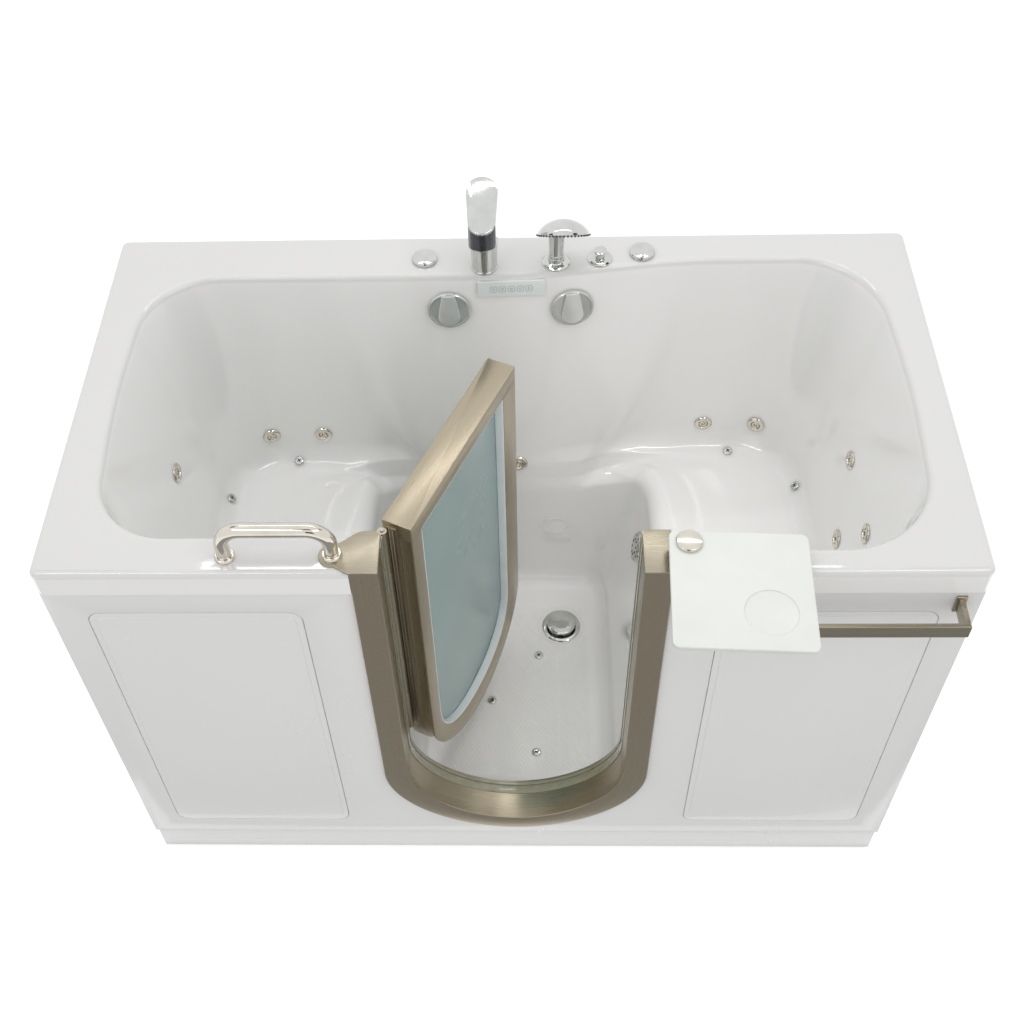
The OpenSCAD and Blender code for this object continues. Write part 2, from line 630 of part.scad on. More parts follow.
// Brass valve bodies under the deck, each with its plain inlet pointing at the wall behind
inlet_y = half_d - 35;
module valve_bodies() {
    color("#b08d4a") for (p = [left_valve_at, right_valve_at]) translate([p.x, p.y, deck_height]) difference() {
        union() {
            translate([0, 0, -60]) cylinder(h = 60.3, r = p.z);
            translate([0, 0, 0.3]) cylinder(h = 2.5, r = 18);
            translate([0, 0, -132]) cylinder(h = 76, r = 17);
            translate([0, 0, -116]) rotate([-90, 0, 0]) cylinder(h = inlet_y - p.y, r = 13);
            translate([0, inlet_y - p.y - 1, -116]) rotate([-90, 0, 0]) cylinder(h = 31, r = 10.5);
        }
        translate([0, 0, -30]) cylinder(h = 40, r = 5.05);
        translate([0, 4, -116]) rotate([-90, 0, 0]) cylinder(h = 90, r = 7.5);
    }
}
module cap_handle(p) {
    color(polished) translate([p.x, p.y, deck_height]) {
        rotate_extrude() polygon([[0, 5.2], [20, 5.2], [20, 0.8], [24, 0.8], [24, 7], [22.5, 9.5], [16, 11], [0, 11.5]]);
        translate([0, 0, -25]) cylinder(h = 31, r = 5);
        translate([-2, -22, 9]) cube([4, 12, 4]);
    }
}
module left_handle() cap_handle(left_valve_at);
module right_handle() cap_handle(right_valve_at);
module shower_holder() {
    color(polished) translate([shower_at.x, shower_at.y, 0]) difference() {
        union() {
            translate([0, 0, deck_height + 0.3]) rotate_extrude()
                polygon([[0, 0], [27, 0], [27, 2], [24, 5], [18, 6.5], [16, 8], [15.5, 17], [0, 17]]);
            translate([0, 0, deck_height - 50]) cylinder(h = 50.5, r = shower_at.z);
        }
        translate([0, 0, deck_height - 60]) cylinder(h = 90, r = 9.05);
    }
}
module hand_shower() {
    color(polished) {
        translate([shower_at.x, shower_at.y, 0]) {
            translate([0, 0, deck_height - 20]) cylinder(h = 40, r = 9);
            translate([0, 0, deck_height + 17.6]) cylinder(h = 65, r1 = 13, r2 = 16);
        }
        translate([103, 306, deck_height + 94]) rotate([144, 0, 0]) rotate_extrude() polygon([
            [0, -15], [16, -14], [30, -10], [42, -4], [49, 3], [49.5, 6], [46, 9], [0, 9]
        ]);
    }
}
module diverter_valve() {
    color(polished) translate([diverter_at.x, diverter_at.y, 0]) difference() {
        union() {
            translate([0, 0, deck_height + 0.3]) rotate_extrude()
                polygon([[0, 0], [24, 0], [24, 2], [20, 4.5], [13, 6], [0, 6]]);
            translate([0, 0, deck_height - 60]) cylinder(h = 60.5, r = diverter_at.z);
        }
        translate([0, 0, deck_height - 40]) cylinder(h = 60, r = 5.05);
    }
}
module diverter_knob() {
    color(polished) translate([diverter_at.x, diverter_at.y, deck_height]) {
        translate([0, 0, -30]) cylinder(h = 45, r = 5);
        translate([0, 0, 6.8]) rotate_extrude() polygon([[0, 0], [8, 0], [7, 8], [9, 12], [12, 14], [12, 19], [10.5, 20.5], [0, 21]]);
    }
}
// The nuts that clamp the fittings from under the deck
module deck_nuts() {
    color("#b08d4a") for (p = [left_valve_at, spout_at, shower_at, diverter_at, right_valve_at])
        translate([p.x, p.y, deck_under - 10.5]) difference() {
            cylinder(h = 10, r = p.z + 8, $fn = 6);
            translate([0, 0, -1]) cylinder(h = 12, r = p.z + 0.05);
        }
}
// Mixing pipe from both valves to the spout, the diverter and the hand shower
module supply_manifold() {
    z = deck_height - 82;
    color("#b87333") {
        translate([left_valve_at.x + 17.2, 352, z]) rotate([0, 90, 0])
            cylinder(h = right_valve_at.x - left_valve_at.x - 34.4, r = 8);
        for (p = [spout_at, shower_at, diverter_at]) {
            translate([p.x, p.y + 2, z]) rotate([-90, 0, 0]) cylinder(h = 352 - p.y, r = 7);
            translate([p.x, p.y, z - 8]) cylinder(h = (p == spout_at ? deck_height - 44.2 : p == shower_at
                ? deck_height - 50.2 : deck_height - 60.2) - z + 8, r = 8);
        }
    }
}

// ---- controls and fittings in the basin ----
panel_x = [-60, 70];
module control_panel() {
    z = 987;
    mid = (panel_x[0] + panel_x[1]) / 2;
    color("#dfe8e4") translate([mid, back_wall_y(mid, z) - 0.5, z]) rotate(back_yaw(mid, z) + 0.6) facing_front(tongue_tilt)
        linear_extrude(4) round_rect([-65, -18], [65, 18], 2);
}
spindle_r = 5;
module dial_bodies() {
    color("white") for (i = [0, 1]) at_dial(i) difference() {
        union() {
            translate([0, 0, 0.4]) cylinder(h = 3, r = 30);
            translate([0, 0, -46]) cylinder(h = 48, r = dial_hole - 1);
            translate([0, 0, -13.5]) cylinder(h = 7, r = 24);
            translate([0, 0, -32]) rotate([90 - tongue_tilt, 0, 0]) cylinder(h = 33, r = 14);
        }
        translate([0, 0, -30]) cylinder(h = 60, r = spindle_r + 0.05);
    }
}
module dial(i) {
    color(polished) at_dial(i) {
        translate([0, 0, 3.8]) rotate_extrude() polygon([[0, 0], [dial_r, 0], [dial_r, 2.5], [dial_r - 9, 8], [0, 8.5]]);
        translate([0, 0, -26]) cylinder(h = 32, r = spindle_r);
        translate([0, 0, 11]) linear_extrude(7) {
            polygon([[-13, 36], [13, 36], [21, -16], [-21, -16]]);
            translate([0, -15]) intersection() {
                circle(21);
                translate([-25, -25]) square([50, 26]);
            }
        }
    }
}
module left_drain_dial() dial(0);
module right_drain_dial() dial(1);
stem_r = 4;
module drain_bodies() {
    color(polished) for (p = drains) translate([p.x, p.y, 0]) {
        difference() {
            union() {
                translate([0, 0, well_height + 0.2]) rotate_extrude()
                    polygon([[0, 0], [44, 0], [44, 1.2], [38, 3.4], [30, 3.6], [0, 3.6]]);
                translate([0, 0, 38]) cylinder(h = well_height - 37.5, r = drain_hole);
            }
            translate([0, 0, 58]) cylinder(h = 60, r = drain_hole - 4);
            translate([0, 0, well_height - 8]) cylinder(h = 14, r1 = drain_hole - 4, r2 = 32);
            translate([0, 0, 58]) rotate([-90, 0, 0]) cylinder(h = 40, r = 14);
        }
        translate([0, 0, well_height - 24]) difference() {
            union() {
                translate([-drain_hole + 2, -2.5, 0]) cube([2 * drain_hole - 4, 5, 6]);
                cylinder(h = 6, r = 8);
            }
            translate([0, 0, -1]) cylinder(h = 8, r = stem_r + 0.05);
        }
    }
}
plug_lift = 9;
module drain_plug(p) {
    color(polished) translate([p.x, p.y, well_height]) {
        translate([0, 0, 4.1 + plug_lift]) rotate_extrude() polygon([[0, 0], [32.5, 0], [33.5, 2], [31, 5], [18, 6.6], [0, 7]]);
        translate([0, 0, -32]) cylinder(h = 32 + 5 + plug_lift, r = stem_r);
    }
}
module left_drain_plug() drain_plug(drains[0]);
module right_drain_plug() drain_plug(drains[1]);
// Waste pipes in straight runs: one from each drain, a cross pipe with the outlet, and the overflow risers
waste_z = 58;
waste_y = 318;
waste_r = 20;
outlet_r = 24.15;
overflow_r = 14;
module waste_pipes() {
    cross = drains[1].x + 45;
    color("white") {
        for (p = drains) translate([p.x, p.y + drain_hole + 0.2, waste_z]) rotate([-90, 0, 0])
            linear_extrude(waste_y - waste_r - 0.4 - p.y - drain_hole) ring2d(waste_r, 3);
        difference() {
            union() {
                translate([-cross, waste_y, waste_z]) rotate([0, 90, 0]) cylinder(h = 2 * cross, r = waste_r);
                translate([0, waste_y, 4]) cylinder(h = 30, r = outlet_r);
                translate([0, waste_y, 33]) cylinder(h = waste_z - 33, r = outlet_r - 1.5);
            }
            translate([-cross + 4, waste_y, waste_z]) rotate([0, 90, 0]) cylinder(h = 2 * cross - 8, r = waste_r - 3);
            translate([0, waste_y, 0]) cylinder(h = waste_z, r = outlet_r - 3.5);
        }
        for (d = dials) translate([d[0], waste_y, waste_z + waste_r + 0.2])
            linear_extrude(d[1] - 38 - waste_z - waste_r - 0.2) ring2d(overflow_r, 2.5);
    }
}
module jet(tail) {
    difference() {
        union() {
            translate([0, 0, 0.8]) rotate_extrude() polygon([[0, 0], [jet_r, 0], [jet_r, 1.5], [jet_r - 3, 3.6], [0, 4]]);
            translate([0, 0, -tail]) cylinder(h = tail + 1, r = back_hole);
            translate([0, 0, -shell_wall - 9]) cylinder(h = 8, r = jet_r);
        }
        translate([0, 0, -tail + 8]) cylinder(h = tail + 10, r = 9);
    }
    translate([0, 0, -3]) rotate_extrude() polygon([[4, 0], [9.1, 0], [9.1, 6], [6, 7], [4, 6]]);
}
jet_tail = 28;
module water_jets() {
    color(polished) {
        at_back_jets() jet(jet_tail);
        at_end_jets() jet(jet_tail);
    }
}
module air_jet(tail) {
    translate([0, 0, 0.6]) rotate_extrude() polygon([[0, 0], [10, 0], [10, 1.2], [8, 2.6], [0, 3]]);
    translate([0, 0, -tail]) cylinder(h = tail + 1, r = air_hole);
}
module air_jets() {
    color(polished) {
        for (p = well_air) translate([p.x, p.y, well_height]) air_jet(12.8);
        at_seat_air() translate([0, 0, 2.2]) air_jet(22);
    }
}
module suction_cover() {
    color(polished) at_suction() difference() {
        union() {
            translate([0, 0, 1.6]) rotate_extrude() polygon([[0, 0], [34, 0], [34, 3], [31, 8], [24, 10], [0, 10.5]]);
            translate([0, 0, -30]) cylinder(h = 33, r = 24);
        }
        translate([0, 0, -40]) cylinder(h = 43, r = 19);
        for (a = [0:45:315]) rotate(a) translate([16, 0, 0]) cylinder(h = 20, r = 3.5, $fn = 20);
        for (a = [0:30:330]) rotate(a) translate([27, 0, 5]) cylinder(h = 20, r = 2, $fn = 16);
    }
}

// ---- base frame ----
module tube_along(axis, from, length) {
    size = axis == 0 ? [length, tube, tube] : axis == 1 ? [tube, length, tube] : [tube, tube, length];
    hole = axis == 0 ? [length + 2, tube - 3, tube - 3] : axis == 1 ? [tube - 3, length + 2, tube - 3]
        : [tube - 3, tube - 3, length + 2];
    shift = axis == 0 ? [-1, 1.5, 1.5] : axis == 1 ? [1.5, -1, 1.5] : [1.5, 1.5, -1];
    translate(from) difference() {
        cube(size);
        translate(shift) cube(hole);
    }
}
side_x = [-half_l + 27, -160, 160 - tube, half_l - 27 - tube];
rail_y = [-half_d + 25, -tube / 2, half_d - 10 - tube];
steel = "#b9bdc0";
module base_side_rails() {
    color(steel) for (x = [side_x[0], side_x[3]])
        tube_along(1, [x, rail_y[0], rail_z], rail_y[2] + tube - rail_y[0]);
}
module base_long_rails() {
    color(steel) for (y = rail_y)
        tube_along(0, [side_x[0] + tube + 0.2, y, rail_z], side_x[3] - side_x[0] - tube - 0.4);
}
module corner_posts() {
    color(steel) for (x = [side_x[0], side_x[3]], y = [rail_y[0], rail_y[2]])
        tube_along(2, [x, y, rail_z + tube + 0.2], deck_under - rail_z - tube - 0.7);
}
seat_rail_z = seat_height - shell_wall - seat_dish - tube - 0.4;
seat_rail_x = [-560, -400, 400 - tube, 560 - tube];
module seat_rails() {
    color(steel) for (x = seat_rail_x) {
        tube_along(1, [x, rail_y[0], seat_rail_z], rail_y[2] + tube - rail_y[0]);
        for (y = [rail_y[0], rail_y[2]])
            tube_along(2, [x, y, rail_z + tube + 0.2], seat_rail_z - rail_z - tube - 0.4);
    }
}
feet = [[side_x[0] + tube / 2, rail_y[0] + tube / 2], [0, rail_y[0] + tube / 2], [side_x[3] + tube / 2, rail_y[0] + tube / 2],
    [0, 0], [side_x[0] + tube / 2, rail_y[2] + tube / 2], [0, rail_y[2] + tube / 2], [side_x[3] + tube / 2, rail_y[2] + tube / 2]];
module levelling_feet() {
    color("dimgray") for (p = feet) translate([p.x, p.y, 0]) {
        rotate_extrude() polygon([[0, 0], [22, 0], [22, 5], [16, 10], [0, 10]]);
        cylinder(h = rail_z - 0.1, r = 5);
        translate([0, 0, rail_z - 7]) cylinder(h = 6.8, r = 9, $fn = 6);
    }
}

// ---- pump, blower and controls under the seats ----
board_z = rail_z + tube + 0.2;
board_x = [330, 700];
module equipment_boards() {
    color("#8a6f4d") for (s = [-1, 1])
        box([min(s * board_x[0], s * board_x[1]), -170, board_z], [max(s * board_x[0], s * board_x[1]), 170, board_z + 9]);
}
board_top = board_z + 9.2;
pump_at = [590, suction_at[0] - 122.3];
module pump_motor() {
    color("#3b3f45") translate([pump_at.x, pump_at.y, board_top]) {
        for (y = [-60, 40]) translate([-45, y, 0]) cube([90, 20, 14]);
        translate([0, -75, 80]) rotate([-90, 0, 0]) cylinder(h = 150, r = 68);
        translate([-30, -50, 142]) cube([60, 90, 26]);
        translate([0, 74, 80]) rotate([-90, 0, 0]) cylinder(h = 18, r = 50);
    }
}
// The wet end: its inlet faces the footwell and its outlet points up to the jet pipes
pump_inlet_z = board_top + 80;
module pump_housing() {
    color("#1f2225") translate([pump_at.x, pump_at.y + 92.3, board_top]) {
        translate([0, 0, 80]) rotate([-90, 0, 0]) cylinder(h = 60, r = 62);
        translate([-70, 30, 80]) rotate([0, 90, 0]) cylinder(h = 70, r = 25);
        translate([36, 30, 80]) cylinder(h = 110, r = 24);
        translate([-50, 5, 0]) cube([100, 45, 30]);
    }
}
blower_at = [-560, -70];
module air_blower() {
    color("#2b2e33") translate([blower_at.x, blower_at.y, board_top]) {
        cylinder(h = 12, r = 78);
        translate([0, 0, 11]) cylinder(h = 74, r = 86);
        translate([0, 0, 84]) cylinder(h = 60, r1 = 70, r2 = 58);
        translate([-60, 0, 50]) rotate([-90, 0, 0]) cylinder(h = 130, r = 24);
    }
}
module control_box() {
    color("#d0d2d4") {
        box([-460, 30, board_top], [-340, 130, board_top + 150]);
        box([-448, 27, board_top + 20], [-352, 30, board_top + 130]);
    }
}
// Water pipes in straight runs: one along the back, a riser at each end and a branch to each jet
pipe_y = 359;
pipe_r = 8;
pipe_z = 640;
end_pipe_x = 712;
function end_stub(p) = (end_pipe_x - abs(end_wall_x(p[0], p[1], p[2]))) / cos(end_tilt);
function end_run_z(p) = p[2] - end_stub(p) * sin(end_tilt);
module jet_pipes() {
    long = end_pipe_x - pipe_r - 0.2;
    color("#e4e6e6") {
        translate([-long, pipe_y, pipe_z]) rotate([0, 90, 0]) cylinder(h = 2 * long, r = pipe_r);
        for (p = back_jets) let (y = pipe_y - back_wall_y(p[0], p[1])) {
            on_back_wall(p[0], p[1], p[3]) translate([0, 0, -y]) cylinder(h = y - jet_tail - 0.2 + p[2], r = 6);
            translate([p[0], pipe_y, p[1] - 12]) cylinder(h = pipe_z - pipe_r - 0.2 - p[1] + 12, r = 7.5);
        }
        for (p = end_jets) {
            translate([p[0] * end_pipe_x, p[1] - 9, end_run_z(p)]) rotate([-90, 0, 0])
                cylinder(h = pipe_y - pipe_r - 0.2 - p[1] + 9, r = 7.5);
            translate([end_wall_x(p[0], p[1], p[2]), p[1], p[2]]) rotate(-end_yaw(p[0], p[1], p[2]))
                rotate([0, -p[0] * (90 - end_tilt), 0]) translate([0, 0, -end_stub(p)])
                    cylinder(h = end_stub(p) - jet_tail - 0.2, r = 6);
        }
        for (s = [-1, 1]) translate([s * end_pipe_x, pipe_y, end_run_z(end_jets[1]) - 10]) cylinder(h = 145, r = pipe_r);
    }
}
// The suction line from the cover down to the pump, and its outlet in straight runs up to the jet pipes
module pump_pipes() {
    drop_x = riser_x + 70 * cos(riser_tilt);
    x = pump_at.x + 36;
    y = pump_at.y + 122.3;
    z = board_top + 360;
    r = 18;
    color("#e4e6e6") {
        at_suction() translate([0, 0, -70]) cylinder(h = 39.8, r = 19);
        translate([drop_x, y, pump_inlet_z - 20]) cylinder(h = suction_at[1] - 70 * sin(riser_tilt) + 30 - pump_inlet_z, r = 20);
        translate([drop_x + 20.2, y, pump_inlet_z]) rotate([0, 90, 0]) cylinder(h = pump_at.x - 70.4 - drop_x - 20, r = 20);
        translate([x, y, board_top + 190.3]) cylinder(h = z - r - 0.2 - board_top - 190.3, r = r);
        translate([x, y - r, z]) rotate([-90, 0, 0]) cylinder(h = pipe_y - y + 2 * r, r = r);
        translate([x, pipe_y, z + r + 0.2]) cylinder(h = pipe_z - pipe_r - 0.4 - z - r, r = r);
    }
}
// Air pipes under the seats and along the footwell to the air jets
air_pipe_z = well_height - 18;
module pipe_between(a, b, r) {
    d = b - a;
    translate(a) rotate([0, 90, atan2(d.y, d.x)]) translate([0, 0, -r]) cylinder(h = norm(d) + 2 * r, r = r);
}
module air_pipes() {
    color("#cfd3d6") {
        for (i = [0, 1]) pipe_between([well_air[i].x, well_air[i].y, air_pipe_z], [well_air[i + 1].x, well_air[i + 1].y, air_pipe_z], 5);
        at_seat_air() translate([0, 0, -42]) cylinder(h = 22, r = 5);
    }
}

tub_shell();
front_apron();
left_end_panel();
right_end_panel();
plinth();
left_access_panel();
right_access_panel();
panel_magnets();
door_frame();
frame_seal();
left_post_cap();
right_post_cap();
hinge_post_leaf();
hinge_pin();
door_panel();
door_glass();
glazing_gaskets();
hinge_door_leaf();
grab_bar();
grab_bar_collars();
towel_bar();
towel_bar_plates();
tray_pivot();
tray_plate();
tray_knob();
spout();
valve_bodies();
left_handle();
right_handle();
shower_holder();
hand_shower();
diverter_valve();
diverter_knob();
deck_nuts();
supply_manifold();
control_panel();
dial_bodies();
left_drain_dial();
right_drain_dial();
drain_bodies();
left_drain_plug();
right_drain_plug();
waste_pipes();
water_jets();
air_jets();
suction_cover();
base_side_rails();
base_long_rails();
corner_posts();
seat_rails();
levelling_feet();
equipment_boards();
pump_motor();
pump_housing();
air_blower();
control_box();
jet_pipes();
pump_pipes();
air_pipes();
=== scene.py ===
import json
import math

import bmesh
import bpy
import numpy as np
from mathutils import Euler, Matrix, Vector


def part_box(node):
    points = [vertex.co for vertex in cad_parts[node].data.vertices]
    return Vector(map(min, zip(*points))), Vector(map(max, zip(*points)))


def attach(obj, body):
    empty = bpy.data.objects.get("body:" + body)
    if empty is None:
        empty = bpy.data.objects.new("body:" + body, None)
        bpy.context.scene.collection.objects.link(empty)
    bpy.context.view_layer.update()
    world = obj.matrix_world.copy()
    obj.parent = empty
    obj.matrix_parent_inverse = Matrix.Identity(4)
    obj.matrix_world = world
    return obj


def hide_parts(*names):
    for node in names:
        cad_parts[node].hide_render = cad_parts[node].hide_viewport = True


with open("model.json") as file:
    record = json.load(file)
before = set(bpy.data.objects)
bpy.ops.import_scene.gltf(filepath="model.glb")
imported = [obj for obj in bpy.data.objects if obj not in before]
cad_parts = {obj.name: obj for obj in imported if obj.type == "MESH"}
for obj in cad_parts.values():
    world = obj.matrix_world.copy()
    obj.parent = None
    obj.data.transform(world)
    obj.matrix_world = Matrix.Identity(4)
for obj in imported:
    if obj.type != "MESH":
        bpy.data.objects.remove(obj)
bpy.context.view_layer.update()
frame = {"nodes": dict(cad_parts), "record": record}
cadNodes = frame["nodes"]
scene = bpy.context.scene
mm = 0.001
bodyOf = {n: body for body, names in frame["record"]["behaviour"]["bodies"].items() for n in names}
slotOf = {s["node"]: s["material_slot"] for s in frame["record"]["subparts"]}


def objectOf(name, data):
    obj = bpy.data.objects.new(name, data)
    scene.collection.objects.link(obj)
    return obj


camera = {  # sizes in pixels of the picture, place in metres, turns in degrees
    "focal": 1337.8, "size": 1024, "centre": (480.8, 475.8), "sensor": 36, "clip": (0.05, 60),
    "place": (0.035, -1.627, 2.725), "down": 50.19, "turn": -3.16, "roll": -2.76,
}


def makeCamera(c):
    data = bpy.data.cameras.new("studioCamera")
    data.sensor_width = c["sensor"]
    data.lens = c["focal"] / c["size"] * data.sensor_width
    data.shift_x = (c["size"] / 2 - c["centre"][0]) / c["size"]
    data.shift_y = (c["centre"][1] - c["size"] / 2) / c["size"]
    data.clip_start, data.clip_end = c["clip"]
    down, turn, roll = (math.radians(c[k]) for k in ("down", "turn", "roll"))
    ahead = Vector((math.sin(turn) * math.cos(down), math.cos(turn) * math.cos(down), -math.sin(down)))
    right = ahead.cross(Vector((0, 0, 1))).normalized()
    up = right.cross(ahead)
    across = math.cos(roll) * right + math.sin(roll) * up
    upright = -math.sin(roll) * right + math.cos(roll) * up
    scene.camera = objectOf("studioCamera", data)
    scene.camera.matrix_world = (Matrix.Translation(c["place"])
                                 @ Matrix((across, upright, -ahead)).transposed().to_4x4())


makeCamera(camera)
print("camera placed")


# Sets or links a node's inputs
def wire(tree, node, inputs):
    for key, value in inputs.items():
        if isinstance(value, bpy.types.NodeSocket):
            tree.links.new(value, node.inputs[key])
        else:
            node.inputs[key].default_value = value
    return node


def nodeOf(tree, kind, inputs, **settings):
    node = tree.nodes.new(kind)
    for key, value in settings.items():
        setattr(node, key, value)
    return wire(tree, node, inputs)


def mathOf(tree, operation, *numbers):
    return nodeOf(tree, "ShaderNodeMath", dict(enumerate(numbers)), operation=operation).outputs[0]


even = (1, 1, 1)
noiseSpan = (0.3, 0.7)  # most of a noise lies between these


def patternSpace(tree, stretch=even, source="Object"):
    where = nodeOf(tree, "ShaderNodeTexCoord", {}).outputs[source]
    return nodeOf(tree, "ShaderNodeMapping", {"Vector": where, "Scale": stretch}).outputs["Vector"]


def cloud(tree, space, scale, detail):
    noise = nodeOf(tree, "ShaderNodeTexNoise", {"Vector": space, "Scale": scale, "Detail": detail})
    return noise.outputs["Fac"]


def ranged(tree, value, *ends):
    named = dict(zip(("From Min", "From Max", "To Min", "To Max"), ends))
    return nodeOf(tree, "ShaderNodeMapRange", {"Value": value, **named}).outputs["Result"]


def blended(tree, value, *tones):
    node = nodeOf(tree, "ShaderNodeValToRGB", {"Fac": value})
    for stop, position, tone in zip(node.color_ramp.elements, noiseSpan, tones):
        stop.position, stop.color = position, (*tone, 1)
    return node.outputs["Color"]


# Painted shade: the colour scaled by a share above a height
def paintedShadeAbove(tree, colour, low, high, tone):
    height = nodeOf(tree, "ShaderNodeSeparateXYZ", {0: patternSpace(tree)}).outputs["Z"]
    share = ranged(tree, height, low, high, 1.0, tone)
    return nodeOf(tree, "ShaderNodeVectorMath", {0: colour, "Scale": share}, operation="SCALE").outputs[0]


def newSurface(name):
    surface = bpy.data.materials.new(name)
    surface.use_nodes = True
    return surface, surface.node_tree


# A finish is two close tones under noise, a range of roughness, and a grain of bump; some add painted shade
# above a height
def makeSurface(name, look):
    surface, tree = newSurface(name)
    source = look.get("source", "Object")
    tone = cloud(tree, patternSpace(tree, look.get("stretch", even), source), look["scale"], 4)
    colour = blended(tree, tone, look["dark"], look["pale"])
    # painted shade above a height, for finishes that set a top
    if look.get("top"):
        colour = paintedShadeAbove(tree, colour, *look["top"])
    scale, strength, distance = look["grain"]
    grain = cloud(tree, patternSpace(tree, look.get("grainStretch", even), source), scale, 2)
    bump = nodeOf(tree, "ShaderNodeBump", {"Height": grain, "Strength": strength, "Distance": distance})
    wire(tree, tree.nodes["Principled BSDF"], {
        **look.get("fixed", {}), "Base Color": colour, "Normal": bump.outputs["Normal"],
        "Roughness": ranged(tree, tone, *noiseSpan, *look["rough"])})
    return surface


metal, worn = {"Metallic": 1.0}, {"Metallic": 0.9}
acrylic = {
    "dark": (0.9, 0.893, 0.882), "pale": (0.92, 0.914, 0.903), "rough": (0.05, 0.08), "scale": 2.5,
    "top": (1.002, 1.012, 0.735),  # heights where the deck's painted shade begins and is full, and its share of the colour: painted shade that darkens the deck against the basin
    "fixed": {"Coat Weight": 0.6, "Coat Roughness": 0.03}, "grain": (9, 0.03, 0.002),
}
brushed = {
    "dark": (0.436, 0.378, 0.282), "pale": (0.462, 0.402, 0.302), "rough": (0.26, 0.32), "scale": 5,
    "fixed": metal, "source": "UV", "stretch": (1, 160, 1), "grain": (30, 0.05, 0.0003),
    "grainStretch": (1, 90, 1),
}
satin = {"rough": (0.18, 0.24), "scale": 40, "fixed": {"Metallic": 0.5}, "grain": (160, 0.015, 0.0003)}
